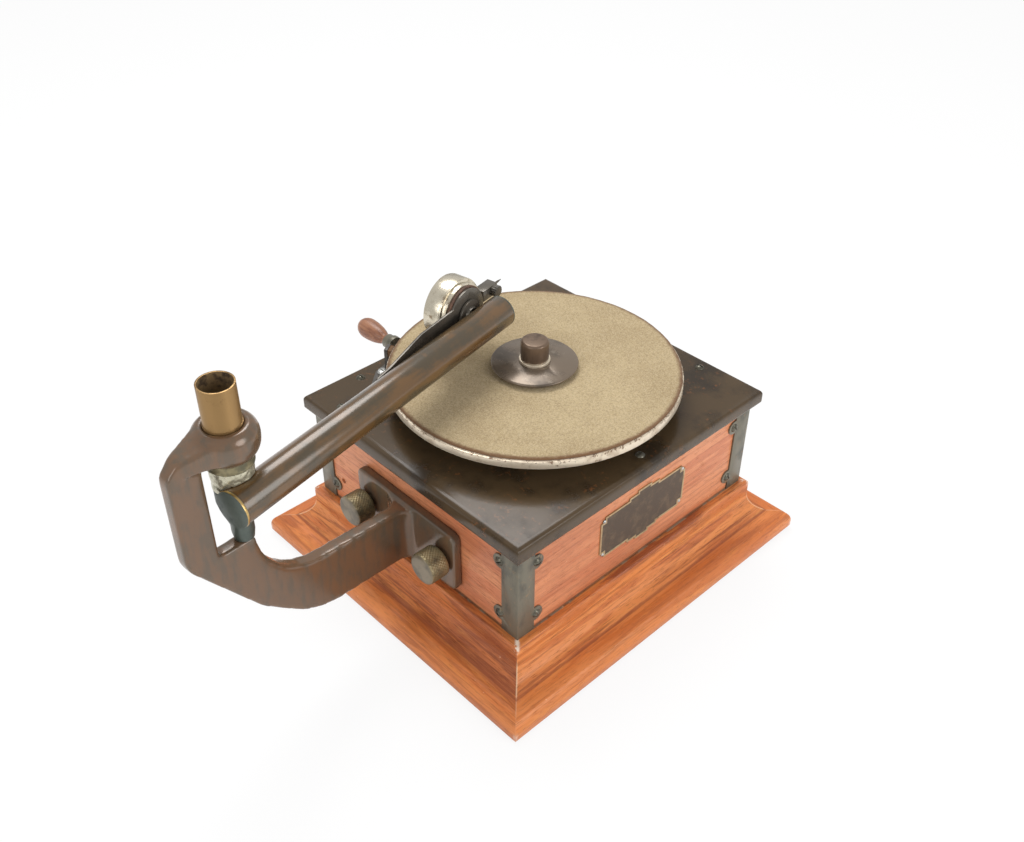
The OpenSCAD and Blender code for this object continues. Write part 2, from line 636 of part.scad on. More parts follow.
// Pivot lug: closes the horn tube's foot beside the arm tube, and narrows down to the ledge
lug_neck_r = 6.6;
lug_r = horn_body_r + 1;
lug_z0 = ledge_z + gap - arm_z;
lug_side = [[0, lug_z0], [lug_neck_r - 0.8, lug_z0], [lug_neck_r, lug_z0 + 5], [lug_neck_r, -24],
  [lug_r - 1, -11], [lug_r, -6], [lug_r, horn_foot], [0, horn_foot]];
module pivot_pin() color(steel) arm_frame() difference() {
  union() {
    rotate_extrude() polygon(lug_side);
    translate([0, 0, ledge_z - pin_depth + 1 - arm_z]) cylinder(r = pin_r, h = pin_depth + 4);
  }
  along_tube(arm_r, -arm_front - cut, 3 * arm_r);
  along_tube(arm_r + 0.5, -3 * arm_r, -arm_front);
}
module throat() color(nickel) difference() {
  box_frame() {
    translate([0, 0, arm_r + 0.2]) cylinder(r = throat_r + 4.5, h = 1.8);
    translate([0, 0, arm_r - 1.9]) cylinder(r = throat_r, h = strap_off + 8 - arm_r);
  }
  box_frame() translate([0, 0, -cut]) cylinder(r = throat_r - 1, h = 40);
  arm_frame() along_tube(arm_in, -cut, arm_rear);
}

// Spring strap: flat back plate behind the sound box, and a long leaf forward to its screw
strap_plan = [[strap_screw_y - sb_along - 6, arm_r + 0.1], [strap_screw_y - sb_along + 7, arm_r + 0.1],
  [-46, strap_off + 1], [-14, strap_off], [strap_disc_r + 2, strap_off]];
strap_side = rounded([[strap_screw_y - sb_along - 6, 2, 2], [-49, 7.6, 90], [-5, 10.6, 0],
  [-5, -11, 0], [-49, -10.5, 90], [strap_screw_y - sb_along - 6, -7.5, 2]]);
strap_band = concat(strap_plan, [for (i = [len(strap_plan) - 1 : -1 : 0]) strap_plan[i] + [0, strap_t]]);
module strap_spring() color(japan) box_frame() difference() {
  intersection() {
    translate([-40, 0, 0]) rotate([90, 0, 90]) linear_extrude(80) polygon(strap_band);
    linear_extrude(40) {
      circle(r = strap_disc_r);
      polygon([for (p = strap_side) [p[1], p[0]]]);
    }
  }
  translate([0, 0, strap_off - cut]) cylinder(r = throat_r + run, h = 5);
  translate([-sb_up, strap_screw_y - sb_along, 0]) cylinder(r = 1.5 + run, h = 30);
}
module strap_screw() color(nickel) arm_frame()
  translate([tube_off - arm_r - 0.1 - strap_t, strap_screw_y, 0])
  rotate([0, -90, 0]) {
    cylinder(r1 = 2.9, r2 = 2.4, h = 1.6);
    translate([0, 0, -4]) cylinder(r = 1.5, h = 5);
  }

// Sound box: offsets are distances from the arm's axis, out along the throat
back_off = strap_off + strap_t + gap;
gasket_t = 2;
flange_off = back_off + gasket_t;
flange_t = 3;
drum_off = flange_off + flange_t;
cavity_off = drum_off + 3.2;
seat_r = drum_r - 2.6;
mica_off = drum_front - 5.2;
mica_t = 0.3;
drum_ridges = 60;
module soundbox_body() color(nickel) box_frame() difference() {
  union() {
    translate([0, 0, flange_off]) cylinder(r = flange_r, h = flange_t);
    translate([0, 0, drum_off]) cylinder(r = drum_r - 0.5, h = drum_front - drum_off);
    translate([0, 0, drum_off + 0.8]) linear_extrude(drum_front - drum_off - 1.6)
      polygon(milled(drum_r, drum_ridges, 0.3));
  }
  translate([0, 0, flange_off - cut]) cylinder(r = throat_r + run, h = 12);
  translate([0, 0, cavity_off]) cylinder(r = seat_r - 2, h = 20);
  translate([0, 0, mica_off - 1.5]) cylinder(r = seat_r, h = 20);
}
module soundbox_gasket() color("saddlebrown") box_frame() {
  translate([0, 0, back_off]) ring(flange_r - 1.2, throat_r + 2, gasket_t);
  translate([0, 0, mica_off - 1.5]) ring(seat_r - 0.02, seat_r - 3, 1.5);
  translate([0, 0, mica_off + mica_t]) ring(seat_r - 0.02, seat_r - 3, 1.5);
}
module diaphragm() color("wheat") box_frame() translate([0, 0, mica_off])
  cylinder(r = seat_r - 0.1, h = mica_t);
front_ring_off = mica_off + mica_t + 1.5;
module front_ring() color(nickel) box_frame() translate([0, 0, front_ring_off])
  ring(seat_r - 0.02, seat_r - 3.6, drum_front - front_ring_off - 0.4);
bar_off = drum_front + 0.6;
bar_t = 2.2;
bar_w = 3;
foot_off = mica_off + mica_t + 0.5;
chuck_y0 = drum_r + gap;
chuck_y1 = drum_r + 16;
chuck_off0 = strap_off + 3.4;
nut_y = drum_r + 11.4;
chuck_up = 1;
needle_off = chuck_off0 + 4;
needle_r = 0.8;
needle_len = 20;
needle_tip = 4;
nut_r = 4.3;
nut_t = 4.4;
nut_shank_r = 1.2;
chuck_hw = 3.5;
chuck_t = 8;
module needle_bar() color(japan) box_frame() difference() {
  union() {
    translate([-bar_w / 2, -2, bar_off]) cube([bar_w, chuck_y1 - 2, bar_t]);
    translate([0, 0, foot_off]) cylinder(r = 1.5, h = bar_off + 1 - foot_off);
    translate([-chuck_hw, chuck_y0, chuck_off0])
      cube([2 * chuck_hw + chuck_up, chuck_y1 - chuck_y0, chuck_t]);
    translate([-bar_w / 2, chuck_y0 + 3, chuck_off0 + chuck_t - 1])
      cube([bar_w, 4, bar_off + bar_t - chuck_off0 - chuck_t + 1]);
  }
  translate([chuck_up, nut_y, chuck_off0 - cut]) cylinder(r = nut_shank_r + run, h = 4);
  needle_way() cylinder(r = needle_r, h = needle_len);
}
module needle_way() translate([chuck_up, chuck_y0 + 2, needle_off]) rotate([-90, 0, 0]) children();
module needle() color(steel) box_frame() needle_way() {
  cylinder(r = needle_r, h = needle_len);
  translate([0, 0, needle_len]) cylinder(r1 = needle_r, r2 = 0.15, h = needle_tip);
}
module needle_screw() color(gunmetal) box_frame() translate([chuck_up, nut_y, chuck_off0 - gap]) {
  translate([0, 0, -nut_t]) linear_extrude(nut_t) polygon(milled(nut_r, 16, 0.5));
  translate([0, 0, -1]) cylinder(r = nut_shank_r, h = 4);
}

// Brake on the top plate: a lever with a felt pad at the turntable's rim
brake_z = plate_top + 2.6;
shoe_dir = [-0.842, -0.539];
shoe_at = shoe_dir * (tt_r + gap);
module brake_lever() color(japan) difference() {
  union() {
    translate([0, 0, brake_z]) linear_extrude(2.4) {
      polygon([[shoe_at[0] - 6.5, shoe_at[1] - 3], [shoe_at[0] - 7.5, shoe_at[1] + 4.5],
        [shoe_at[0] - 1.5, shoe_at[1] + 3], brake_xy + [4.5, 0], brake_xy + [-4.5, -1]]);
      translate(brake_xy) circle(r = 4.8);
      polygon([brake_xy + [-3.4, -3.4], brake_xy + [3.4, 3.4], [-65.5, -88], [-70, -91]]);
      translate([-67.7, -89.5]) circle(r = 3.2);
    }
    translate([0, 0, brake_z]) linear_extrude(felt_z0 - brake_z - 0.4)
      polygon([for (q = [[3, -4], [3, 4], [5.4, 4], [5.4, -4]])
        shoe_at + q[0] * shoe_dir + q[1] * [-shoe_dir[1], shoe_dir[0]]]);
  }
  translate([brake_xy[0], brake_xy[1], brake_z - cut]) cylinder(r = brake_screw_r + run, h = 10);
}
module brake_pad() color("saddlebrown") translate([0, 0, rim_z0 + 0.6]) linear_extrude(tt_rim_h - 1.6)
  polygon([for (q = [[0.15, -3.6], [0.15, 3.6], [3, 3.6], [3, -3.6]])
    shoe_at + q[0] * shoe_dir + q[1] * [-shoe_dir[1], shoe_dir[0]]]);
module brake_screw() color(nickel) translate([brake_xy[0], brake_xy[1], plate_top]) {
  cylinder(r = 4, h = brake_z - plate_top - gap);
  translate([0, 0, -4]) cylinder(r = brake_screw_r, h = brake_z + 2.4 + gap - plate_top + 4.1);
  translate([0, 0, brake_z + 2.4 + gap - plate_top]) difference() {
    cylinder(r1 = 3.6, r2 = 2.8, h = 1.8);
    translate([-4, -0.4, 1]) cube([8, 0.8, 2]);
  }
}

// Crank: shaft along X into the cabinet, flat arm upward, turned knob on its riveted pin
arm_x = hw + crank_out;
crank_arm_t = 4.5;
crank_eye_z = crank_z + crank_len;
bevel_reach = 20;
barrel_x = -42;
shaft_in = barrel_x - bevel_reach + 8;
module along_crank(r, x0, x1, z = crank_z) translate([x0, crank_y, z]) rotate([0, 90, 0])
  cylinder(r = r, h = x1 - x0);
module crank_shaft() color(steel) {
  along_crank(shaft_r, -arm_x - crank_arm_t + 0.5, shaft_in);
  along_crank(shaft_r + 2, -arm_x, -hw - 2 - gap);
}
module crank_arm() color(gunmetal) difference() {
  union() {
    along_crank(8, -arm_x - crank_arm_t, -arm_x);
    along_crank(6.5, -arm_x - crank_arm_t, -arm_x, crank_eye_z);
    translate([-arm_x - crank_arm_t, 0, 0]) rotate([90, 0, 90]) linear_extrude(crank_arm_t)
      polygon([[crank_y - 6.4, crank_z], [crank_y + 6.4, crank_z], [crank_y + 4.6, crank_eye_z],
        [crank_y - 4.6, crank_eye_z]]);
    along_crank(knob_pin_r, knob_x - knob_len - 0.6, -arm_x - 1, crank_eye_z);
    along_crank(5.4, knob_x + gap, -arm_x - 1, crank_eye_z);
  }
  along_crank(shaft_r, -arm_x - crank_arm_t - cut, -arm_x + cut);
}
knob_x = -arm_x - crank_arm_t - 5 - gap;
knob_pin_r = 2;
knob_round = 10;
knob_waist = knob_len - knob_round;
knob_side = concat([[knob_pin_r + run, 0], [4.3, 0], [3.8, 2]],
  [for (a = [-60 : 10 : 0]) [knob_r * cos(a), knob_waist + (knob_waist - 3) * sin(a) / sin(60)]],
  [for (a = [12 : 12 : 72]) [knob_r * cos(a), knob_waist + knob_round * sin(a)]],
  [[knob_pin_r + run, knob_len]]);
module crank_knob() color("indianred") translate([knob_x, crank_y, crank_eye_z]) rotate([0, -90, 0])
  rotate_extrude() polygon(knob_side);

// Spring motor. Places of the arbors, seen from above
great_n = 72;
inter_pinion_n = 18;
inter_wheel_n = 60;
spindle_pinion_n = 15;
barrel_xy = [barrel_x, crank_y];
great_to_inter = gear_m * (great_n + inter_pinion_n) / 2;
inter_to_spindle = gear_m * (inter_wheel_n + spindle_pinion_n) / 2;
barrel_far = norm(barrel_xy);
inter_a = (inter_to_spindle ^ 2 - great_to_inter ^ 2 + barrel_far ^ 2) / (2 * barrel_far);
inter_b = sqrt(inter_to_spindle ^ 2 - inter_a ^ 2);
inter_xy = inter_a * barrel_xy / barrel_far + inter_b * [-barrel_xy[1], barrel_xy[0]] / barrel_far;
function heading(p, q) = atan2(q[1] - p[1], q[0] - p[0]);
great_z = low_plate_z + 2;
great_t = 4;
inter_wheel_z = 60;
wheel_t = 2.5;
worm_wheel_r = 30;
worm_z = 70;
worm_r = 4.2;
gov_y = worm_wheel_r + gear_m * 0.85 + gap + worm_r;
frame_x0 = board_t + 3.5 - hw;
frame_x1 = 40;
frame_y0 = -78;
frame_y1 = 74;
pillar_x0 = frame_x0 + 18;
pillar_x1 = frame_x1 - 7;
pillar_xy = [[pillar_x0, frame_y0 + 8], [pillar_x1, frame_y0 + 8], [pillar_x0, frame_y1 - 8],
  [pillar_x1, frame_y1 - 8]];
pillar_r = 4.5;
stud_r = 2;
pivot_r = 2;
arbor_r = 4;
inter_r = 3;
ratchet_z = 85.5;
lever_z = 62;
lever_t = 4;
stud_collar_h = 2.6;
arbor_pivot_r = 3;
lever_xy = [frame_x0 + 4, 12];
pawl_at = [10.7, 15];
pawl_xy = barrel_xy + pawl_at;
module frame_plate() difference() {
  translate([frame_x0, frame_y0, 0]) cube([frame_x1 - frame_x0, frame_y1 - frame_y0, frame_t]);
  for (p = pillar_xy) translate([p[0], p[1], -cut]) cylinder(r = stud_r + run, h = frame_t + 2 * cut);
  translate([barrel_xy[0], barrel_xy[1], -cut]) cylinder(r = arbor_pivot_r + run, h = frame_t + 2 * cut);
  translate([inter_xy[0], inter_xy[1], -cut]) cylinder(r = pivot_r + run, h = frame_t + 2 * cut);
}
module bearing_lug(x0, x1, y, hy, z, r) difference() {
  translate([x0, y - hy, z - hy]) cube([x1 - x0, 2 * hy, high_plate_z - z + hy + 0.5]);
  translate([x0 - cut, y, z]) rotate([0, 90, 0]) cylinder(r = r + run, h = x1 - x0 + 2 * cut);
}
// Stud under the upper plate, with a collar below the piece that turns on it from height z
module stud(xy, z) translate([xy[0], xy[1], z - gap - stud_collar_h]) {
  cylinder(r = pivot_r + 1, h = stud_collar_h);
  cylinder(r = pivot_r, h = high_plate_z + 0.5 - z + gap + stud_collar_h);
}
gov_lug_x = [[frame_x0 + 2, frame_x0 + 5.5], [14, 18]];
speed_lug_y = -6;
module motor_upper_plate() color(steel) difference() {
  union() {
    translate([0, 0, high_plate_z]) frame_plate();
    bearing_lug(-72, -66, crank_y, 8, crank_z, shaft_r);
    for (g = gov_lug_x) bearing_lug(g[0], g[1], gov_y, 6, worm_z, pivot_r);
    translate([speed_x - 4, speed_lug_y, speed_z - 4.6]) cube([8, 4, high_plate_z - speed_z + 5]);
    stud(lever_xy, lever_z);
    stud(pawl_xy, ratchet_z);
  }
  translate([0, 0, high_plate_z - cut]) cylinder(r = spindle_r + run, h = frame_t + 2 * cut);
  speed_bore();
}
module motor_lower_plate() color(steel) translate([0, 0, low_plate_z - frame_t]) difference() {
  frame_plate();
  translate([0, 0, frame_t - 2]) cylinder(r = spindle_foot_r + run, h = 4);
}
module motor_pillars() color(nickel) for (p = pillar_xy) translate([p[0], p[1], 0]) {
  translate([0, 0, low_plate_z]) cylinder(r = pillar_r, h = high_plate_z - low_plate_z);
  translate([0, 0, high_plate_z + frame_t]) cylinder(r = pillar_r, h = plate_under - high_plate_z - frame_t);
  translate([0, 0, low_plate_z - frame_t - 2]) cylinder(r = stud_r, h = plate_under - low_plate_z + 1);
  translate([0, 0, low_plate_z - frame_t - 3]) cylinder(r = 3.8, h = 3, $fn = 6);
}
function spur_turn(n, from, to, gap_first) = heading(from, to) + (gap_first ? 180 / n : 0);
module spur(n, h, turn) rotate([0, 0, turn]) linear_extrude(h) polygon(gear_points(n, gear_m));
drum_rr = gear_m * great_n / 2 - 3;
module spring_barrel() color(brass_c) translate([barrel_xy[0], barrel_xy[1], great_z]) difference() {
  union() {
    spur(great_n, great_t, spur_turn(great_n, barrel_xy, inter_xy, false));
    cylinder(r = drum_rr, h = great_t + barrel_h);
  }
  translate([0, 0, great_t]) cylinder(r = drum_rr - barrel_wall, h = barrel_h - barrel_wall);
  translate([0, 0, -cut]) cylinder(r = arbor_r + run, h = great_t + barrel_h + 2 * cut);
}
// Mainspring: one strip wound in a spiral from near the arbor out to the barrel's wall
spring_turns = 8;
spring_r0 = arbor_r + 3;
spring_r1 = drum_rr - barrel_wall - spring_t - 0.1;
function spiral(a, out) = (spring_r0 + out + (spring_r1 - spring_r0) * a / (360 * spring_turns))
  * [cos(a), sin(a)];
module mainspring() color(steel) translate([barrel_xy[0], barrel_xy[1], great_z + great_t + 1.5])
  linear_extrude(barrel_h - barrel_wall - 3) polygon(concat(
    [for (i = [0 : 20 * spring_turns]) spiral(i * 18, 0)],
    [for (i = [20 * spring_turns : -1 : 0]) spiral(i * 18, spring_t)]));

// Bevel gear with its cone's tip at the origin, its large end of radius r at z = -d
module bevel(n, r, d, face, tooth_first, shank) {
  g = atan(r / d);
  fz = face * cos(g);
  fr = face * sin(g);
  add = [cos(g), sin(g)] * 0.8;
  difference() {
    union() {
      translate([0, 0, -d + add[1]]) cylinder(r1 = r + add[0], r2 = r + add[0] - fr, h = fz);
      translate([0, 0, -d - shank + add[1]]) cylinder(r = r + add[0], h = shank);
    }
    for (i = [0 : n - 1]) rotate([0, 0, (i + (tooth_first ? 0.5 : 0)) * 360 / n])
      translate([r, 0, -d]) rotate([0, -90 - g, 0]) translate([-shank - 4, -1.2, -4])
        cube([face + shank + 8, 2.4, 5.2]);
  }
}
pinion_n = 16;
crown_n = 32;
bevel_face = 5.5;
module winding_pinion() color(brass_c) difference() {
  translate([barrel_x, crank_y, crank_z]) rotate([0, 90, 0])
    bevel(pinion_n, bevel_reach / 2, bevel_reach, bevel_face, false, 2.5);
  along_crank(shaft_r, -80, -40);
}
ratchet_n = 24;
ratchet_t = 3;
ratchet_tip = 13.5;
ratchet_root = 11.4;
// Shaft between the frame plates, with a thinner pivot in each
module arbor(r, end_r) {
  translate([0, 0, low_plate_z + gap]) cylinder(r = r, h = high_plate_z - low_plate_z - 2 * gap);
  translate([0, 0, low_plate_z - frame_t + 0.5])
    cylinder(r = end_r, h = high_plate_z - low_plate_z + 2 * frame_t - 1);
}
module winding_arbor() color(steel) translate([barrel_xy[0], barrel_xy[1], 0]) {
  arbor(arbor_r, arbor_pivot_r);
  translate([0, 0, crank_z]) {
    bevel(crown_n, bevel_reach, bevel_reach / 2, bevel_face, true, 2);
    translate([0, 0, -bevel_reach / 2 - 4.5]) cylinder(r = 2 * arbor_r, h = 4);
  }
  translate([0, 0, ratchet_z]) linear_extrude(ratchet_t)
    polygon([for (i = [0 : ratchet_n - 1]) let (a = i * 360 / ratchet_n) each
      [ratchet_root * [cos(a), sin(a)], ratchet_tip * [cos(a + 0.4), sin(a + 0.4)]]]);
}
// Pawl, drawn lifted just clear of the ratchet's tips
pawl_lift = 9;
module pawl() color(steel) translate([pawl_xy[0], pawl_xy[1], ratchet_z]) rotate([0, 0, -pawl_lift])
  difference() {
    union() {
      cylinder(r = pivot_r + 1.4, h = ratchet_t);
      linear_extrude(ratchet_t) polygon([for (q = [[-2.86, 11.65], [-3.5, 14.8], [8, 17.6], [8, 13.1],
        [-0.5, 14.1], [-1.6, 13.1]]) q - pawl_at]);
    }
    translate([0, 0, -cut]) cylinder(r = pivot_r + run, h = ratchet_t + 2 * cut);
  }
module intermediate_arbor() color(brass_c) translate([inter_xy[0], inter_xy[1], 0]) {
  arbor(inter_r, pivot_r);
  translate([0, 0, great_z - 0.4]) spur(inter_pinion_n, great_t + 0.8,
    spur_turn(inter_pinion_n, inter_xy, barrel_xy, true));
  translate([0, 0, inter_wheel_z])
    spur(inter_wheel_n, wheel_t, spur_turn(inter_wheel_n, inter_xy, [0, 0], false));
  translate([0, 0, inter_wheel_z - 3]) cylinder(r = 7, h = 3);
}
worm_wheel_n = 60;
module spindle_gears() color(brass_c) {
  difference() {
    translate([0, 0, inter_wheel_z - 0.8]) spur(spindle_pinion_n, wheel_t + 1.6,
      spur_turn(spindle_pinion_n, [0, 0], inter_xy, true));
    cylinder(r = spindle_r, h = high_plate_z);
  }
  difference() {
    union() {
      translate([0, 0, worm_z - 2]) spur(worm_wheel_n, 4, 90);
      translate([0, 0, worm_z - 4.5]) cylinder(r = 9, h = 3);
    }
    cylinder(r = spindle_r, h = high_plate_z);
  }
}
// Governor: shaft with worm, two collars, three balls on leaf springs, and a friction disc
disc_x = -75;
gov_fixed_x = -44;
gov_ball_x = -59;
module gov(x0, x1, r) translate([x0, gov_y, worm_z]) rotate([0, 90, 0]) cylinder(r = r, h = x1 - x0);
module governor() color(steel) {
  gov(gov_lug_x[0][0] + 0.5, gov_lug_x[1][1] - 0.5, pivot_r);
  gov(gov_lug_x[0][1] + gap, gov_lug_x[1][0] - gap, 2.6);
  gov(disc_x, disc_x + 2, 14);
  gov(disc_x + 2, disc_x + 6, 5);
  gov(gov_fixed_x, gov_fixed_x + 5, 5);
  gov(-9, 9, worm_r - 0.9);
  for (i = [0 : 5]) gov(-8.4 + i * 3, -7 + i * 3, worm_r);
  for (a = [90, 210, 330]) translate([0, gov_y, worm_z]) rotate([a, 0, 0]) {
    translate([gov_ball_x, 0, ball_at]) rotate([0, 0, 90]) sphere(r = ball_r);
    gov_leaf([disc_x + 4, 3.9], [gov_ball_x - 1, ball_at]);
    gov_leaf([gov_fixed_x + 2, 3.9], [gov_ball_x + 1, ball_at]);
  }
}
// Flat leaf spring from p to q, each a distance along the shaft and a distance from it
module gov_leaf(p, q) translate([p[0], -1.6, p[1]]) rotate([0, -atan2(q[1] - p[1], q[0] - p[0]), 0])
  cube([norm(q - p), 3.2, 0.5]);
lever_y = 2;
module governor_lever() color(steel) {
  difference() {
    translate([0, 0, lever_z]) linear_extrude(lever_t) {
      translate(lever_xy) circle(r = 4);
      polygon([lever_xy + [-3, 0], lever_xy + [3, -1], lever_xy + [8, 14], lever_xy + [4.6, 15]]);
      polygon([lever_xy + [-2, -3], lever_xy + [2, 3], [speed_x + 2.5, lever_y + 4.5],
        [speed_x + 2.5, lever_y + gap], [speed_x - 2.5, lever_y + gap]]);
    }
    translate([lever_xy[0], lever_xy[1], lever_z - cut]) cylinder(r = pivot_r + run, h = lever_t + 2 * cut);
  }
  translate([lever_xy[0] + 5.6, lever_xy[1] + 14.6, lever_z])
    cube([disc_x - gap - lever_xy[0] - 5.6, 3, lever_t]);
}
speed_collar_r = 8;
speed_collar_h = 8;
module speed_screw() color(steel) translate([speed_x, lever_y, speed_z]) rotate([90, 0, 0]) difference() {
  union() {
    cylinder(r = speed_r, h = hd + lever_y - 4.5);
    translate([0, 0, hd + lever_y - board_t - gap - speed_collar_h])
      cylinder(r = speed_collar_r, h = speed_collar_h);
  }
  translate([-3, -0.4, hd + lever_y - 5.5]) cube([6, 0.8, 3]);
}

base_rails();
board_front();
board_back();
board_left();
board_right();
bottom_board();
corner_blocks();
bottom_screws();
corner_brackets();
bracket_screws();
top_plate();
plate_screws();
nameplate();
nameplate_pins();
crank_escutcheon();
horn_bracket();
motor_upper_plate();
motor_lower_plate();
motor_pillars();
thumb_screw_left();
thumb_screw_right();
turntable();
turntable_felt();
label_plate();
spindle_collar();
spindle();
spindle_gears();
clamp_cap();
arm_tube();
arm_front_plug();
arm_rear_cap();
horn_tube();
horn_flange();
solder_joint();
pivot_pin();
throat();
strap_spring();
strap_screw();
soundbox_body();
soundbox_gasket();
diaphragm();
front_ring();
needle_bar();
needle();
needle_screw();
brake_lever();
brake_pad();
brake_screw();
crank_shaft();
winding_pinion();
crank_arm();
crank_knob();
spring_barrel();
mainspring();
winding_arbor();
intermediate_arbor();
governor();
pawl();
speed_screw();
governor_lever();
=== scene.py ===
# %% [markdown]
# # A front-mount gramophone, dressed around its engineering model
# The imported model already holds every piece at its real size, so this script never moves or
# resizes one. It gives each piece the surface that the real one has after a century of use:
# waxed oak, oxidised bronze, worn nickel, faded felt. Lengths are metres, +Z is up, the horn
# bracket is at -Y and the nameplate at +X.

# %% Load the frame and remember its size
import json
import math

import bmesh
import bpy
from mathutils import Matrix, Vector

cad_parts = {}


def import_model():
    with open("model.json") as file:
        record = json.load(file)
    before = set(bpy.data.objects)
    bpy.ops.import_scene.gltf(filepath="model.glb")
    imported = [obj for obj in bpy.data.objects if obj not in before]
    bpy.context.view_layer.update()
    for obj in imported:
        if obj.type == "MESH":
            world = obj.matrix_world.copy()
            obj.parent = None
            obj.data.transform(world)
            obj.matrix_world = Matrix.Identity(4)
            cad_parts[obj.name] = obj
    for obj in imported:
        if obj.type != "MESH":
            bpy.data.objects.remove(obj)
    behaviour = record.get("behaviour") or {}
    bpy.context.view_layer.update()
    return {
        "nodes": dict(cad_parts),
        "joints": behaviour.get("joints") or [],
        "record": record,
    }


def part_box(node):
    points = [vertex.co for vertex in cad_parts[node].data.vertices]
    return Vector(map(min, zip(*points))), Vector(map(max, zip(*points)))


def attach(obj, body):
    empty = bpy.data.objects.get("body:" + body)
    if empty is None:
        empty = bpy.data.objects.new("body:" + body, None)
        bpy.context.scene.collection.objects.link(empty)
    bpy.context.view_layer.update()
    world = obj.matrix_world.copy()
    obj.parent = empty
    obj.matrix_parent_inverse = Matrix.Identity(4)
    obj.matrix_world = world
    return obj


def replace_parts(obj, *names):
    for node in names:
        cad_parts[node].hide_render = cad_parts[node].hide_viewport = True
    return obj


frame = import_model()
nodes = frame["nodes"]
record = frame["record"]

# %% [markdown]
# ## Which body carries which piece
# A new piece has to ride on the same body as the one that it stands for. The record lists the
# bodies, so a small lookup is enough and nothing is typed twice.

# %% Lookups
body_of_node = {n: body for body, names in record["behaviour"]["bodies"].items() for n in names}
slot_of_node = {s["node"]: s["material_slot"] for s in record["subparts"]}


def joint_place(name):
    """Where a joint's axis passes, in metres."""
    return Vector(next(j["pos_m"] for j in frame["joints"] if j["name"] == name))


# %% [markdown]
# ## Shader maths as ordinary Python
# A material is a web of nodes. Written out one by one they hide the idea, so one small class
# wraps an output socket and lets + - * and powers add the Math nodes. Everything else goes
# through `node`, which takes a type, its settings and its inputs.

# %% A wire that can be added and multiplied
class Wire:
    """An output socket of a material; operators on it build Math nodes."""

    def __init__(self, finish, socket):
        self.finish = finish
        self.socket = socket

    def __add__(self, other):
        return self.finish.math("ADD", self, other)

    __radd__ = __add__

    def __sub__(self, other):
        return self.finish.math("SUBTRACT", self, other)

    def __rsub__(self, other):
        return self.finish.math("SUBTRACT", other, self)

    def __mul__(self, other):
        return self.finish.math("MULTIPLY", self, other)

    __rmul__ = __mul__

    def __gt__(self, other):
        return self.finish.math("GREATER_THAN", self, other)

    def __abs__(self):
        return self.finish.math("ABSOLUTE", self)

    def __pow__(self, other):
        return self.finish.math("POWER", self, other)


# %% A finish: one material and the ways to add to it
class Finish:
    """A material with its Principled shader, built up by calls that return wires."""

    def __init__(self, name):
        self.material = bpy.data.materials.new(name)
        self.material.use_nodes = True
        self.tree = self.material.node_tree
        self.shader = self.tree.nodes["Principled BSDF"]
        place = self.tree.nodes.new("ShaderNodeTexCoord")
        self.place = Wire(self, place.outputs["Object"])
        split = self.node("ShaderNodeSeparateXYZ", {}, [self.place]).socket.node
        self.x, self.y, self.z = [Wire(self, split.outputs[i]) for i in range(3)]

    def plug(self, value, socket):
        """Links a wire to a socket, or sets its number; a colour gets its alpha here."""
        if isinstance(value, Wire):
            self.tree.links.new(value.socket, socket)
            return
        if socket.type == "RGBA":
            value = (*value, 1.0)
        socket.default_value = value

    def node(self, kind, settings, inputs):
        """Any node: its settings first, then inputs by order or by name."""
        made = self.tree.nodes.new(kind)
        for key, value in settings.items():
            setattr(made, key, value)
        named = inputs.items() if isinstance(inputs, dict) else enumerate(inputs)
        for key, value in named:
            self.plug(value, made.inputs[key])
        return Wire(self, made.outputs[0])

    def math(self, operation, *values):
        return self.node("ShaderNodeMath", {"operation": operation}, values)

    def vector(self, x, y, z):
        return self.node("ShaderNodeCombineXYZ", {}, [x, y, z])

    def noise(self, where, scale=1.0, detail=3.0, rough=0.55, warp=0.0):
        return self.node("ShaderNodeTexNoise", {"noise_dimensions": "3D"},
                         {"Vector": where, "Scale": scale, "Detail": detail,
                          "Roughness": rough, "Distortion": warp})

    def ease(self, value, low, high):
        """0 below low, 1 above high and smooth between."""
        return self.node("ShaderNodeMapRange", {"interpolation_type": "SMOOTHSTEP"},
                         {"Value": value, "From Min": low, "From Max": high})

    def mix(self, amount, first, second):
        """Fades from the first colour to the second; the node's colour sockets are 6 and 7."""
        made = self.tree.nodes.new("ShaderNodeMix")
        made.data_type = "RGBA"
        for value, i in ((amount, 0), (first, 6), (second, 7)):
            self.plug(value, made.inputs[i])
        return Wire(self, made.outputs[2])

    def bump(self, height, distance, strength=1.0):
        normal = self.node("ShaderNodeBump", {},
                           {"Height": height, "Distance": distance, "Strength": strength})
        self.plug(normal, self.shader.inputs["Normal"])

    def set(self, **inputs):
        for key, value in inputs.items():
            self.plug(value, self.shader.inputs[key.replace("_", " ")])
        return self.material


# %% [markdown]
# ## Oak
# The mouldings and boards are oak under old wax. Two things say oak: long bands where the
# saw met the year rings at a flat angle, and thousands of short dark pores along the grain.
# Both are noise that is stretched along the board. On the mouldings the direction of "along"
# changes at the mitre, so the coordinates are swapped there, as a joiner's pieces would be.
# Wear follows the shape: pale chips at the mitre's ends and a scuffed foot. The dark line in the
# crease and the darker top of each board are painted shade.

# %% Oak finish
HALF_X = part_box("board_right")[1].x
HALF_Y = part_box("board_back")[1].y
BASE_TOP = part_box("base_rails")[1].z
BOARD_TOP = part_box("board_back")[1].z
CREASE_OUT = 0.018  # from the boards out to the crease in the moulding
COVE_LOW = 0.014
COVE_HIGH = 0.034
FOOT = 0.003


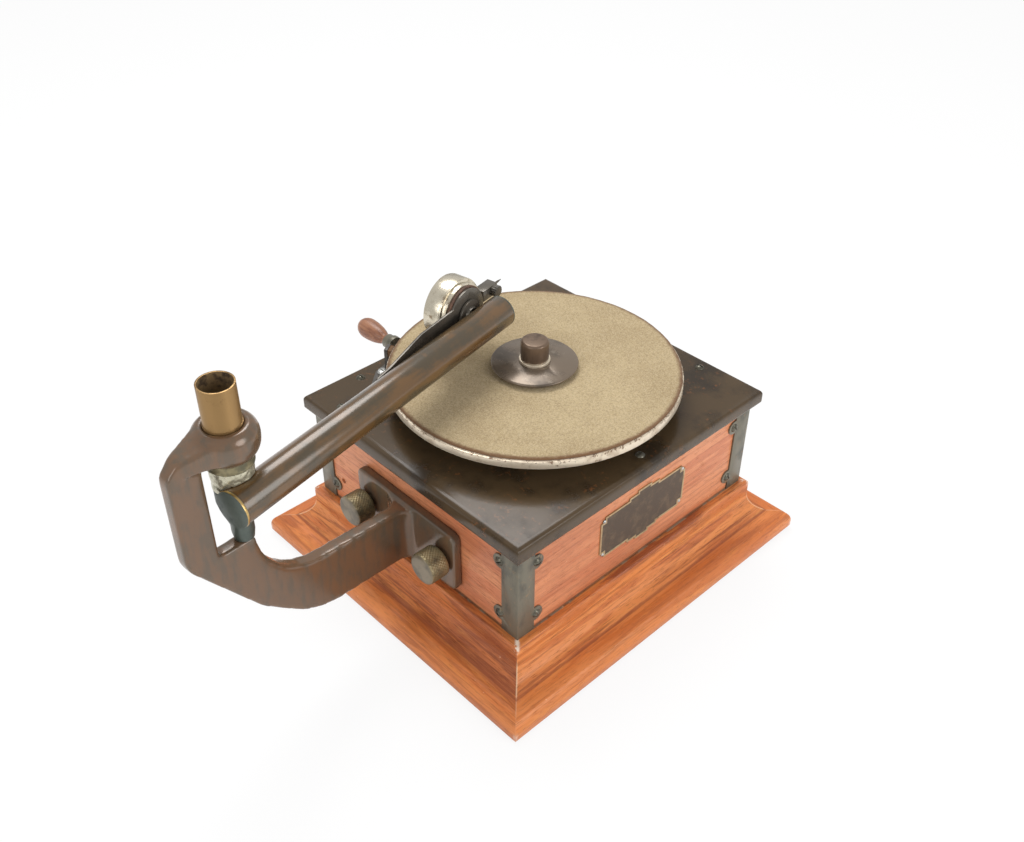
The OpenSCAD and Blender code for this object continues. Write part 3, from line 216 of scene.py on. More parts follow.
def oak(name, light, middle_tone, dark, gold, turn, wear_colour, contrast=0.8):
    """turn is "x" or "y" for a board's grain, or "mitre" for a frame of mouldings."""
    f = Finish(name)
    past_mitre = (abs(f.x) - HALF_X) - (abs(f.y) - HALF_Y)
    if turn == "mitre":
        on_side = past_mitre > 0.0
        along = f.y * on_side + f.x * (1 - on_side)
        across = f.x * on_side + f.y * (1 - on_side)
    else:
        along, across = (f.x, f.y) if turn == "x" else (f.y, f.x)
    slow = f.noise(f.vector(along * 6, across * 30, f.z * 30), detail=2)
    band = f.noise(f.vector(along * 7, across * 75 + f.z * 20, f.z * 75), detail=3, warp=0.8)
    figure = f.noise(f.vector(along * 9, across * 110, f.z * 110), detail=4, warp=0.9)
    streak = f.noise(f.vector(along * 16, across * 420, f.z * 420), detail=3)
    fibre = f.noise(f.vector(along * 60, across * 2200, f.z * 2200), detail=2)
    pore = f.noise(f.vector(along * 130, across * 2600, f.z * 2600), detail=1)
    rings = f.math("SINE", band * 30 + slow * 9)
    tone = f.mix(f.ease(band + rings * 0.07, 0.38, 0.62), middle_tone, light)
    tone = f.mix(f.ease(slow + rings * 0.06, 0.54, 0.68) * contrast, tone, dark)
    tone = f.mix(f.ease(figure, 0.6, 0.66) * contrast * 0.75, tone, dark)
    tone = f.mix(f.ease(figure, 0.42, 0.34) * contrast * 0.5, tone, gold)
    tone = f.mix(f.ease(streak, 0.5, 0.68) * 0.55, tone, dark)
    tone = f.mix(f.ease(fibre, 0.5, 0.7) * 0.35, tone, light)
    pores = f.ease(pore, 0.6, 0.68)
    tone = f.mix(pores * 0.45, tone, tuple(c * 0.5 for c in dark))
    spots = f.noise(f.place, scale=55, detail=5, rough=0.7)
    if turn == "mitre":
        near = 1 - f.ease(abs(past_mitre), 0.0003, 0.0009)
        in_cove = (f.ease(f.z, COVE_LOW, COVE_LOW + 0.004)
                   * (1 - f.ease(f.z, COVE_HIGH - 0.006, COVE_HIGH)))
        tone = f.mix(near * (0.08 + in_cove * 0.55), tone, wear_colour)
        around = 1 - f.ease(abs(past_mitre), 0.0006, 0.0032)
        at_foot = 1 - f.ease(f.z, FOOT + 0.001, FOOT + 0.006)
        low_or_top = at_foot + f.ease(f.z, BASE_TOP - 0.006, BASE_TOP - 0.002)
        chips = f.ease(spots, 0.46, 0.5) * around * low_or_top
        tone = f.mix(chips * 0.8, tone, (0.85, 0.74, 0.62))
        foot = 1 - f.ease(f.z, FOOT, FOOT + 0.0035)
        tone = f.mix(foot * 0.5, tone, (0.62, 0.3, 0.2))
        off_board = f.math("MAXIMUM", abs(f.x) - HALF_X, abs(f.y) - HALF_Y)
        outer = f.ease(off_board, CREASE_OUT - 0.001, CREASE_OUT + 0.001)
        tone = f.mix(outer * 0.35, tone, (0.64, 0.18, 0.04))
        # painted shade: the moulding's concave crease is darkened where shade falls
        crease = 1 - f.ease(abs(off_board - CREASE_OUT), 0.0003, 0.0014)
        tone = f.mix(crease * 0.6, tone, (0.26, 0.06, 0.02))
        crack = (1 - f.ease(off_board, 0.0006, 0.0018)) * f.ease(f.z, BASE_TOP - 0.001, BASE_TOP)
        tone = f.mix(crack * f.ease(spots, 0.45, 0.55), tone, (0.5, 0.4, 0.28))
    else:
        crack = 1 - f.ease(abs(f.z - BASE_TOP - 0.0006), 0.0002, 0.0014)
        # painted shade: the top of each board is darkened where the top plate overhangs it
        top = f.ease(f.z, BOARD_TOP - 0.005, BOARD_TOP)
        tone = f.mix(top * 0.3, tone, dark)
    tone = f.mix(crack * 0.6, tone, (0.07, 0.055, 0.035))
    scratch = f.ease(f.noise(f.place, scale=160, detail=4, rough=0.8), 0.68, 0.72)
    tone = f.mix(scratch * 0.5, tone, wear_colour)
    f.bump(fibre * 0.4 - pores * 0.9 + streak * 0.5, 0.0001)
    gloss = 0.3 + spots * 0.14 + pores * 0.2
    f.shader.inputs["Specular IOR Level"].default_value = 0.4
    return f.set(Base_Color=tone, Roughness=gloss)


moulding_oak = oak("moulding_oak", (0.74, 0.26, 0.075), (0.57, 0.165, 0.042),
                   (0.25, 0.055, 0.018), (0.8, 0.33, 0.085), "mitre", (0.85, 0.6, 0.38))
board_tones = ((0.69, 0.27, 0.125), (0.58, 0.19, 0.082), (0.38, 0.11, 0.048),
               (0.71, 0.29, 0.125))
side_oak = oak("side_board_oak", *board_tones, "y", (0.75, 0.5, 0.34), contrast=0.45)
end_oak = oak("end_board_oak", *board_tones, "x", (0.75, 0.5, 0.34), contrast=0.45)
plain_oak = oak("plain_oak", (0.6, 0.4, 0.22), (0.5, 0.31, 0.16), (0.3, 0.17, 0.08),
                (0.66, 0.46, 0.25), "x", (0.7, 0.5, 0.3), contrast=0.4)

# %% [markdown]
# ## Old metal
# Every metal here is some mix of three looks: the bright metal, the film of oxide on it, and
# specks where the film broke through. One function covers the family. Streaks follow the
# direction in which a piece was drawn, turned or brushed, and the roughness follows the oxide.

# %% Metal finish
def metal(name, bright, oxide, speck, grain=(1.0, 1.0, 1.0), cover=0.5, metallic=0.8,
          rough=(0.3, 0.5), specks=0.6, dent=0.00005, streak_scale=120.0, turn=None,
          shine=0.4, chipped_at=None):
    """grain squeezes the streaks along an axis; cover is how much of the metal is oxidised.

    chipped_at is the height of an edge whose plating has flaked."""
    f = Finish(name)
    where = f.place
    if turn is not None:
        where = f.node("ShaderNodeMapping", {"vector_type": "POINT"},
                       {"Vector": f.place, "Rotation": (0.0, 0.0, turn)})
    where = f.node("ShaderNodeVectorMath", {"operation": "MULTIPLY"}, [where, grain])
    streak = f.noise(where, scale=streak_scale, detail=4)
    blotch = f.noise(f.place, scale=38, detail=5, rough=0.62)
    fine = f.noise(f.place, scale=900, detail=2)
    film = f.ease(streak * 0.55 + blotch * 0.45, 0.62 - cover * 0.3, 0.78 - cover * 0.3)
    tone = f.mix(film, bright, oxide)
    broken = f.ease(f.noise(f.place, scale=210, detail=4, rough=0.75), 0.56, 0.66) * specks
    tone = f.mix(broken * f.ease(blotch, 0.42, 0.6), tone, speck)
    if chipped_at is not None:
        at_edge = 1 - f.ease(abs(f.z - chipped_at), 0.0005, 0.003)
        ragged = f.noise(f.place, scale=420, detail=4, rough=0.75) + at_edge * 0.1
        tone = f.mix(f.ease(ragged + blotch * 0.5, 0.89, 0.93) * 0.85, tone, speck)
    f.bump(fine * 0.5 + streak * 0.5, dent)
    f.shader.inputs["Specular IOR Level"].default_value = shine
    return f.set(Base_Color=tone, Metallic=metallic,
                 Roughness=rough[0] + film * (rough[1] - rough[0]) + fine * 0.08)


# %% Cast, drawn and spun metals of the outside
ARM_TURN = -math.radians(11.4)
RIM_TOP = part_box("turntable_felt")[0].z
plate_metal = metal("top_plate_metal", (0.075, 0.048, 0.024), (0.03, 0.02, 0.011),
                    (0.2, 0.08, 0.028), cover=0.5, metallic=0.0, rough=(0.16, 0.28),
                    streak_scale=22, specks=0.6, shine=0.33)
casting_metal = metal("casting_metal", (0.165, 0.094, 0.052), (0.122, 0.086, 0.056),
                      (0.22, 0.12, 0.05), grain=(1.3, 1.3, 0.3), cover=0.6, metallic=0.15,
                      rough=(0.13, 0.19), streak_scale=150, specks=0.2, dent=0.00001,
                      shine=0.7)
arm_metal = metal("arm_tube_metal", (0.14, 0.072, 0.024), (0.07, 0.05, 0.026),
                  (0.18, 0.08, 0.02), grain=(1.0, 0.12, 1.0), cover=0.68, metallic=0.1,
                  rough=(0.15, 0.2), streak_scale=120, turn=ARM_TURN, specks=0.4,
                  dent=0.00001, shine=0.8)
cap_green = metal("plug_metal", (0.085, 0.105, 0.09), (0.055, 0.072, 0.064), (0.13, 0.11, 0.07),
                  cover=0.5, metallic=0.3, rough=(0.34, 0.46), specks=0.25)
aged_brass = metal("horn_tube_brass", (0.32, 0.195, 0.08), (0.17, 0.1, 0.042),
                   (0.1, 0.06, 0.03), grain=(1.0, 1.0, 0.12), cover=0.45, metallic=0.75,
                   rough=(0.27, 0.38), streak_scale=130, specks=0.5)
bore_metal = metal("horn_bore_scale", (0.2, 0.13, 0.06), (0.06, 0.038, 0.022),
                   (0.3, 0.22, 0.11), cover=0.6, metallic=0.3, rough=(0.6, 0.8),
                   streak_scale=260, specks=0.7, dent=0.0004)
flange_metal = metal("flange_brass", (0.27, 0.23, 0.13), (0.13, 0.12, 0.075),
                     (0.42, 0.36, 0.2), cover=0.6, metallic=0.5, rough=(0.32, 0.46),
                     specks=0.3)

# %% Brass, solder, gunmetal and steel
motor_brass = metal("motor_brass", (0.55, 0.38, 0.15), (0.4, 0.26, 0.1), (0.2, 0.12, 0.05),
                    cover=0.4, metallic=0.9)
solder_metal = metal("solder_metal", (0.56, 0.53, 0.4), (0.26, 0.25, 0.17),
                     (0.1, 0.11, 0.08), cover=0.5, metallic=0.7, rough=(0.24, 0.42),
                     dent=0.0003, streak_scale=300, specks=0.8)
bracket_metal = metal("corner_bracket_metal", (0.17, 0.155, 0.115), (0.105, 0.1, 0.08),
                      (0.34, 0.21, 0.1), grain=(1.0, 1.0, 0.4), cover=0.5, metallic=0.35,
                      rough=(0.3, 0.42), specks=0.5)
dark_screw = metal("bracket_screw_metal", (0.13, 0.12, 0.09), (0.07, 0.065, 0.05),
                   (0.25, 0.2, 0.13), cover=0.5, metallic=0.5, rough=(0.22, 0.36), specks=0.5)
screw_metal = metal("screw_metal", (0.3, 0.28, 0.24), (0.12, 0.115, 0.1), (0.1, 0.07, 0.05),
                    cover=0.5, metallic=0.75, rough=(0.26, 0.4), specks=0.5)
steel_metal = metal("steel_metal", (0.5, 0.5, 0.48), (0.34, 0.33, 0.31), (0.25, 0.17, 0.1),
                    cover=0.35, metallic=0.9, rough=(0.25, 0.42), specks=0.3)
dark_steel = metal("strap_metal", (0.13, 0.115, 0.095), (0.055, 0.05, 0.043),
                   (0.2, 0.12, 0.07), grain=(1.0, 0.2, 1.0), cover=0.55, metallic=0.4,
                   rough=(0.22, 0.36), turn=ARM_TURN, specks=0.3)

# %% Nickel, thumb screws and the small dark pieces
rim_nickel = metal("rim_nickel", (0.74, 0.64, 0.5), (0.5, 0.4, 0.29), (0.16, 0.08, 0.04),
                   cover=0.45, metallic=0.5, rough=(0.25, 0.4), specks=0.3, dent=0.00005,
                   chipped_at=RIM_TOP)
box_nickel = metal("sound_box_nickel", (0.66, 0.6, 0.48), (0.34, 0.29, 0.2),
                   (0.2, 0.13, 0.07), cover=0.45, metallic=0.85, rough=(0.2, 0.4),
                   specks=0.9, dent=0.0001)
label_metal = metal("label_plate_metal", (0.2, 0.155, 0.115), (0.11, 0.087, 0.066),
                    (0.33, 0.28, 0.22), cover=0.5, metallic=0.4, rough=(0.2, 0.3),
                    streak_scale=40, specks=0.35)
clamp_metal = metal("clamp_cap_metal", (0.17, 0.115, 0.078), (0.09, 0.06, 0.04),
                    (0.3, 0.22, 0.15), grain=(1.0, 1.0, 0.1), cover=0.5, metallic=0.45,
                    rough=(0.28, 0.4), streak_scale=200, specks=0.4)
thumb_metal = metal("thumb_screw_metal", (0.3, 0.24, 0.13), (0.13, 0.112, 0.07),
                    (0.07, 0.05, 0.03), cover=0.55, metallic=0.6, rough=(0.3, 0.44),
                    specks=0.7)
thumb_face = metal("thumb_face_metal", (0.23, 0.19, 0.13), (0.15, 0.13, 0.1),
                   (0.28, 0.2, 0.1), cover=0.5, metallic=0.35, rough=(0.34, 0.46), specks=0.3)
japan_black = metal("brake_japan", (0.11, 0.1, 0.09), (0.05, 0.046, 0.04), (0.16, 0.1, 0.06),
                    cover=0.5, metallic=0.3, rough=(0.3, 0.45), specks=0.3)

# %% [markdown]
# ## Felt, mica, rubber and the turned knob
# Felt has no weave: it is a mat of fibres, so two noises of very different scale do it, with
# a dirty brown ring where hands and records wore the edge. The knob's grain runs along its pin.

# %% Soft and small finishes
FELT_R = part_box("turntable_felt")[1].x


def felt():
    f = Finish("turntable_felt_wool")
    radius = (f.x * f.x + f.y * f.y) ** 0.5
    cloud = f.noise(f.place, scale=16, detail=5, rough=0.6)
    lint = f.noise(f.place, scale=1500, detail=3, rough=0.7)
    mottle = f.noise(f.place, scale=650, detail=4, rough=0.7)
    tone = f.mix(f.ease(cloud, 0.3, 0.7), (0.36, 0.265, 0.14), (0.49, 0.38, 0.215))
    tone = f.mix(f.ease(mottle, 0.45, 0.62) * 0.55, tone, (0.26, 0.19, 0.1))
    tone = f.mix(f.ease(lint, 0.45, 0.6) * 0.5, tone, (0.66, 0.54, 0.36))
    ragged = radius + (f.noise(f.place, scale=260, detail=3) - 0.5) * 0.003
    tone = f.mix(f.ease(ragged, FELT_R - 0.004, FELT_R - 0.0006) * 0.85, tone,
                 (0.13, 0.055, 0.025))
    tone = f.mix(f.ease(f.noise(f.place, scale=75, detail=4, rough=0.8), 0.66, 0.72) * 0.4,
                 tone, (0.2, 0.12, 0.05))
    f.bump(lint + mottle * 0.8, 0.0004, 0.7)
    f.shader.inputs["Specular IOR Level"].default_value = 0.1
    f.shader.inputs["Sheen Weight"].default_value = 0.15
    return f.set(Base_Color=tone, Roughness=0.92 + lint * 0.05)


def knob_wood():
    f = Finish("crank_knob_wood")
    grain = f.noise(f.vector(f.x * 25, f.y * 500, f.z * 500), detail=4)
    patch = f.noise(f.place, scale=60, detail=3)
    tone = f.mix(f.ease(grain, 0.35, 0.7), (0.36, 0.16, 0.085), (0.2, 0.075, 0.04))
    tone = f.mix(f.ease(patch, 0.5, 0.68) * 0.45, tone, (0.42, 0.2, 0.11))
    f.bump(grain, 0.00006)
    return f.set(Base_Color=tone, Roughness=0.3 + grain * 0.12)


def gasket_rubber():
    f = Finish("gasket_rubber")
    mark = f.noise(f.place, scale=300, detail=4)
    tone = f.mix(f.ease(mark, 0.35, 0.7), (0.14, 0.07, 0.042), (0.07, 0.04, 0.028))
    f.bump(mark, 0.0001)
    return f.set(Base_Color=tone, Roughness=0.6 + mark * 0.2)


def mica():
    f = Finish("diaphragm_mica")
    flake = f.noise(f.place, scale=140, detail=5)
    tone = f.mix(f.ease(flake, 0.4, 0.65), (0.62, 0.54, 0.36), (0.78, 0.72, 0.56))
    f.bump(flake, 0.00003)
    return f.set(Base_Color=tone, Roughness=0.12 + flake * 0.2, Coat_Weight=0.4 + flake * 0.2)


felt_wool = felt()
turned_wood = knob_wood()
rubber = gasket_rubber()
mica_sheet = mica()

# %% [markdown]
# ## Every engineering piece gets its finish
# The motor can't be seen, but someone may open the cabinet, so it is finished too.

# %% Finish by record slot, then the exceptions
FINISHES = {
    "moulding_oak": moulding_oak, "board_oak": end_oak, "plain_wood": plain_oak,
    "gunmetal": bracket_metal, "steel": steel_metal, "plate_metal": plate_metal,
    "nameplate_metal": bracket_metal, "brass": motor_brass, "casting": casting_metal,
    "thumb_metal": thumb_metal, "rim_nickel": rim_nickel, "felt": felt_wool,
    "label_metal": label_metal, "cap_metal": clamp_metal, "arm_bronze": arm_metal,
    "solder": solder_metal, "spring_steel": dark_steel, "box_nickel": box_nickel,
    "gasket": rubber, "mica": mica_sheet, "brake_metal": japan_black,
    "knob_wood": turned_wood,
}
EXCEPTIONS = {
    "board_left": side_oak, "board_right": side_oak, "horn_tube": aged_brass,
    "horn_flange": flange_metal, "bracket_screws": dark_screw, "plate_screws": dark_screw,
    "arm_front_plug": cap_green, "arm_rear_cap": cap_green, "pivot_pin": cap_green,
    "brake_pad": felt_wool, "throat": dark_steel, "needle_bar": dark_steel,
    "needle_screw": dark_steel, "needle": dark_steel, "crank_arm": bracket_metal,
    "strap_screw": screw_metal,
}


def finish_of(node):
    return EXCEPTIONS.get(node, FINISHES[slot_of_node[node]])


for node, thing in nodes.items():
    thing.data.materials.clear()
    thing.data.materials.append(finish_of(node))
print(len(nodes), "nodes carry", len(bpy.data.materials), "finishes")

# %% [markdown]
# ## Fine copies with true edges
# The engineering mesh is loose triangles with knife-sharp edges. Light never meets such an
# edge on a real thing: a filed or cast edge is a narrow round that catches a highlight. So a
# seen piece gets a copy whose points are merged, whose flat faces are joined into whole ones
# and whose edges are then rounded by a fraction of a millimetre.

# %% Merge, round and smooth
SHARP = math.radians(32)


def new_piece(name, mesh, node, material):
    """A finished mesh at the origin that rides where the node rode and stands for it."""
    thing = bpy.data.objects.new(name, mesh)
    bpy.context.scene.collection.objects.link(thing)
    mesh.materials.clear()
    mesh.materials.append(material)
    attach(thing, body_of_node[node])
    return thing


def whole_mesh(node, join=True):
    """A merged copy of a node's mesh, with flat regions joined into single faces."""
    made = bmesh.new()
    made.from_mesh(nodes[node].data)
    bmesh.ops.remove_doubles(made, verts=made.verts, dist=0.000002)
    if join:
        bmesh.ops.dissolve_limit(made, angle_limit=math.radians(0.7), verts=made.verts,
                                 edges=made.edges, delimit={"NORMAL"})
    mesh = bpy.data.meshes.new(node + "_fine")
    made.to_mesh(mesh)
    made.free()
    return mesh


def with_modifiers(mesh, *steps):
    """The plain mesh after the given modifiers: (type, {setting: value}) each."""
    holder = bpy.data.objects.new("holder", mesh)
    bpy.context.scene.collection.objects.link(holder)
    for kind, settings in steps:
        modifier = holder.modifiers.new(kind, kind)
        for key, value in settings.items():
            setattr(modifier, key, value)
    graph = bpy.context.evaluated_depsgraph_get()
    result = bpy.data.meshes.new_from_object(holder.evaluated_get(graph))
    bpy.data.objects.remove(holder)
    return result


def shade(mesh, angle=SHARP):
    mesh.polygons.foreach_set("use_smooth", [True] * len(mesh.polygons))
    mesh.set_sharp_from_angle(angle=angle)
    return mesh


def fine_copy(node, edge):
    """Stands a rounded copy in a node's place; an edge of 0 only merges and smooths it."""
    mesh = whole_mesh(node)
    if edge:
        mesh = with_modifiers(mesh, ("BEVEL", {
            "width": edge, "segments": 2, "limit_method": "ANGLE",
            "angle_limit": math.radians(40), "use_clamp_overlap": True,
            "miter_outer": "MITER_ARC", "harden_normals": False}))
    piece = new_piece(node + "_fine", shade(mesh), node, finish_of(node))
    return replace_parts(piece, node)


def second_finish(piece, material, belongs):
    """Gives the faces for which belongs(centre, normal) is true another finish."""
    mesh = piece.data
    mesh.materials.append(material)
    for polygon in mesh.polygons:
        if belongs(polygon.center, polygon.normal):
            polygon.material_index = len(mesh.materials) - 1


EDGES = {
    "base_rails": 0.0, "top_plate": 0.0, "corner_brackets": 0.00025, "turntable": 0.0005,
    "label_plate": 0.0003, "spindle_collar": 0.0005, "clamp_cap": 0.0004,
    "crank_escutcheon": 0.0005, "arm_tube": 0.0002, "arm_front_plug": 0.0003,
    "arm_rear_cap": 0.0002, "horn_tube": 0.00025, "pivot_pin": 0.0004, "throat": 0.0004,
    "strap_spring": 0.0004, "strap_screw": 0.0002, "soundbox_body": 0.0004,
    "soundbox_gasket": 0.0004, "front_ring": 0.0003, "needle_bar": 0.0004,
    "needle_screw": 0.0003, "brake_lever": 0.0004, "brake_screw": 0.0002,
    "crank_arm": 0.0006, "crank_knob": 0.0, "crank_shaft": 0.0003,
}
pieces = {node: fine_copy(node, edge) for node, edge in EDGES.items()}
print(len(EDGES), "pieces have rounded edges")

# %% [markdown]
# Three pieces show two metals. The horn tube is rough and dark inside, the plug in the arm's
# front end keeps a bright line on its rim, and the record clamp has a bright neck.

# %% Faces with a second finish
pivot = joint_place("arm_swing")
tube_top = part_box("horn_tube")[1].z
arm_along = Vector((math.sin(ARM_TURN), math.cos(ARM_TURN), 0))
neck_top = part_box("clamp_cap")[0].z + 0.0035


def inside_tube(centre, normal):
    outward = Vector((centre.x - pivot.x, centre.y - pivot.y, 0))
    return centre.z < tube_top - 0.0004 and normal.dot(outward.normalized()) < -0.5


second_finish(pieces["horn_tube"], bore_metal, inside_tube)
second_finish(pieces["arm_front_plug"], motor_brass,
              lambda centre, normal: abs(normal.dot(arm_along)) < 0.3)
second_finish(pieces["clamp_cap"], rim_nickel,
              lambda centre, normal: centre.z < neck_top and abs(normal.z) < 0.9)

# %% [markdown]
# ## The horn bracket casting
# The real bracket left a sand mould, so nothing on it is crisp: the web swells into the
# collar and every edge is round. Remeshing the engineering solid into small even cells and
# relaxing them gives that skin without drawing it again. The voxel size sets how round.

# %% Casting skin
CAST_CELL = 0.0009
CAST_PASSES = 24


def relaxed_skin(node, name, cell, passes, *more):
    """Remeshes a copy of a node into even cells and relaxes them; more modifiers may follow."""
    mesh = with_modifiers(
        whole_mesh(node, join=False),
        ("REMESH", {"mode": "VOXEL", "voxel_size": cell, "use_smooth_shade": True}),
        ("SMOOTH", {"factor": 0.5, "iterations": passes}), *more)
    mesh.polygons.foreach_set("use_smooth", [True] * len(mesh.polygons))
    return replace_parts(new_piece(name, mesh, node, finish_of(node)), node)


bracket = relaxed_skin("horn_bracket", "bracket_casting", CAST_CELL, CAST_PASSES)
print("casting skin:", len(bracket.data.polygons), "faces")

# %% [markdown]
# ## Lathe work
# Turned pieces are one outline spun about an axis. Spinning can turn the skin inside out, so
# doubles are merged and the normals recalculated.

# %% Spin an outline
def lathe(name, outline, steps, closed=True):
    """outline is [(radius, height)] about the +Z axis; closed joins its two ends."""
    made = bmesh.new()
    rings = []
    for radius, height in outline:
        rings.append([made.verts.new((radius * math.cos(a), radius * math.sin(a), height))
                      for a in (2 * math.pi * i / steps for i in range(steps))])
    pairs = list(zip(rings, rings[1:] + rings[:1])) if closed else list(zip(rings, rings[1:]))
    for low, high in pairs:
        for i in range(steps):
            j = (i + 1) % steps
            made.faces.new((low[i], low[j], high[j], high[i]))
    bmesh.ops.remove_doubles(made, verts=made.verts, dist=0.000003)
    bmesh.ops.recalc_face_normals(made, faces=made.faces)
    mesh = bpy.data.meshes.new(name)
    made.to_mesh(mesh)
    made.free()
    return shade(mesh, math.radians(38))


# %% [markdown]
# ## The felt disc
# The felt is glued on and its edge has frayed and curled a little, so the disc has a soft
# shoulder and an edge that wanders by a few tenths of a millimetre.

# %% Felt disc
def felt_disc():
    low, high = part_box("turntable_felt")
    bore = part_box("spindle")[1].x + 0.0002
    thick = high.z - low.z
    outline = [(bore, low.z), (FELT_R - 0.0003, low.z), (FELT_R, low.z + thick * 0.45),
               (FELT_R - 0.0004, high.z - 0.0003), (FELT_R - 0.0014, high.z),
               (FELT_R - 0.004, high.z - 0.0001), (FELT_R * 0.7, high.z), (bore, high.z)]
    mesh = lathe("felt_disc", outline, steps=360)
    for v in mesh.vertices:
        radius = math.hypot(v.co.x, v.co.y)
        if radius > FELT_R - 0.002:
            angle = math.atan2(v.co.y, v.co.x)
            wander = math.sin(angle * 23) * 0.5 + math.sin(angle * 61 + 1) * 0.3
            v.co.xy *= 1 + (wander - 0.8) * 0.00016 / radius
    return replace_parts(new_piece("felt_disc", mesh, "turntable_felt", felt_wool),
                       "turntable_felt")


felt_disc()

# %% [markdown]
# ## Screws by the dozen
# Twenty-two round-head screws hold the brackets and the top plate, each turned to its own
# angle. Geometry Nodes place them: points carry the outward direction, the tree puts one head
# on each and spins it by a seeded random angle, then makes it all real mesh.

# %% A slotted round head of unit radius
HEAD_RISE = 0.6


def slotted_head(rise, slot=0.14, deep=0.34):
    ball = (1 + rise * rise) / (2 * rise)
    outline = [(0.0, -0.02), (0.96, -0.02), (1.0, 0.02)]
    for i in range(1, 9):
        radius = 1 - i / 8
        outline.append((radius, rise - ball + math.sqrt(ball * ball - radius * radius)))
    head = lathe("screw_head", outline, steps=32, closed=False)
    cutter = bmesh.new()
    bmesh.ops.create_cube(cutter, size=1.0)
    bmesh.ops.scale(cutter, vec=(2.4, slot * 2, 1.0), verts=cutter.verts)
    bmesh.ops.translate(cutter, vec=(0, 0, rise - deep + 0.5), verts=cutter.verts)
    knife = bpy.data.meshes.new("slot_cutter")
    cutter.to_mesh(knife)
    cutter.free()
    tool = bpy.data.objects.new("slot_tool", knife)
    bpy.context.scene.collection.objects.link(tool)
    cut = with_modifiers(head, ("BOOLEAN", {"operation": "DIFFERENCE", "object": tool,
                                            "solver": "EXACT"}))
    bpy.data.objects.remove(tool)
    return shade(cut)


head_mesh = slotted_head(HEAD_RISE)
print("one screw head has", len(head_mesh.polygons), "faces")


# %% The tree that places them
def placing_tree(head_object, material):
    tree = bpy.data.node_groups.new("place_heads", "GeometryNodeTree")
    face = tree.interface
    face.new_socket("Geometry", in_out="INPUT", socket_type="NodeSocketGeometry")
    radius = face.new_socket("Head radius", in_out="INPUT", socket_type="NodeSocketFloat")
    radius.default_value = 0.0032
    seed = face.new_socket("Seed", in_out="INPUT", socket_type="NodeSocketInt")
    seed.default_value = 4
    face.new_socket("Geometry", in_out="OUTPUT", socket_type="NodeSocketGeometry")

    def add(kind, **settings):
        made = tree.nodes.new(kind)
        for key, value in settings.items():
            setattr(made, key, value)
        return made

    def link(output, socket):
        tree.links.new(output, socket)

    given = add("NodeGroupInput")
    info = add("GeometryNodeObjectInfo")
    info.inputs["Object"].default_value = head_object
    outward = add("GeometryNodeInputNamedAttribute", data_type="FLOAT_VECTOR")
    outward.inputs["Name"].default_value = "outward"
    aim = add("FunctionNodeAlignRotationToVector", axis="Z")
    link(outward.outputs["Attribute"], aim.inputs["Vector"])
    spin = add("FunctionNodeRandomValue", data_type="FLOAT")
    spin.inputs[3].default_value = math.pi
    link(given.outputs["Seed"], spin.inputs["Seed"])
    axis_angle = add("FunctionNodeAxisAngleToRotation")
    axis_angle.inputs["Axis"].default_value = (0, 0, 1)
    link(spin.outputs[1], axis_angle.inputs["Angle"])
    turn = add("FunctionNodeRotateRotation", rotation_space="LOCAL")
    link(aim.outputs["Rotation"], turn.inputs["Rotation"])
    link(axis_angle.outputs["Rotation"], turn.inputs["Rotate By"])
    place = add("GeometryNodeInstanceOnPoints")
    link(given.outputs["Geometry"], place.inputs["Points"])
    link(info.outputs["Geometry"], place.inputs["Instance"])
    link(turn.outputs["Rotation"], place.inputs["Rotation"])
    link(given.outputs["Head radius"], place.inputs["Scale"])
    real = add("GeometryNodeRealizeInstances")
    link(place.outputs["Instances"], real.inputs["Geometry"])
    paint = add("GeometryNodeSetMaterial")
    paint.inputs["Material"].default_value = material
    link(real.outputs["Geometry"], paint.inputs["Geometry"])
    out = add("NodeGroupOutput")
    link(paint.outputs["Geometry"], out.inputs["Geometry"])
    return tree


# %% The solids of one node
def loose_parts(node):
    """The separate solids of one node, each as its low and high corner."""
    made = bmesh.new()
    made.from_mesh(nodes[node].data)
    bmesh.ops.remove_doubles(made, verts=made.verts, dist=0.000002)
    seen = set()
    parts = []
    for start in made.verts:
        if start in seen:
            continue
        stack = [start]
        members = []
        seen.add(start)
        while stack:
            v = stack.pop()
            members.append(v.co.copy())
            for e in v.link_edges:
                other = e.other_vert(v)
                if other not in seen:
                    seen.add(other)
                    stack.append(other)
        parts.append((Vector(map(min, *members)), Vector(map(max, *members))))
    made.free()
    return parts


# %% Heads in a node's place
def seat(low, high, outward, radius):
    """The middle of a head's widest plane, one head's rise below the screw's outer end."""
    centre = (low + high) / 2
    reach = (high - low) / 2
    tip = centre + Vector([outward[i] * reach[i] for i in range(3)])
    return tip - outward * HEAD_RISE * radius


def heads_on(node, name, direction, radius, seed, material):
    """direction(low, high) gives a screw's outward axis."""
    spots = []
    for low, high in loose_parts(node):
        outward = direction(low, high)
        spots.append((seat(low, high, outward, radius), outward))
    mesh = bpy.data.meshes.new(name + "_points")
    mesh.from_pydata([spot for spot, _ in spots], [], [])
    arrow = mesh.attributes.new("outward", "FLOAT_VECTOR", "POINT")
    for i, (_, outward) in enumerate(spots):
        arrow.data[i].vector = outward
    head = bpy.data.objects.new(name + "_head", head_mesh)
    bpy.context.scene.collection.objects.link(head)
    tree = placing_tree(head, material)
    holder = bpy.data.objects.new(name + "_holder", mesh)
    bpy.context.scene.collection.objects.link(holder)
    modifier = holder.modifiers.new("place", "NODES")
    modifier.node_group = tree
    named = {s.name: s.identifier for s in tree.interface.items_tree if s.in_out == "INPUT"}
    modifier[named["Head radius"]] = radius
    modifier[named["Seed"]] = seed
    graph = bpy.context.evaluated_depsgraph_get()
    result = bpy.data.meshes.new_from_object(holder.evaluated_get(graph))
    bpy.data.objects.remove(holder)
    bpy.data.objects.remove(head)
    piece = new_piece(name, shade(result), node, material)
    print(name, "has", len(spots), "heads")
    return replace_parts(piece, node)


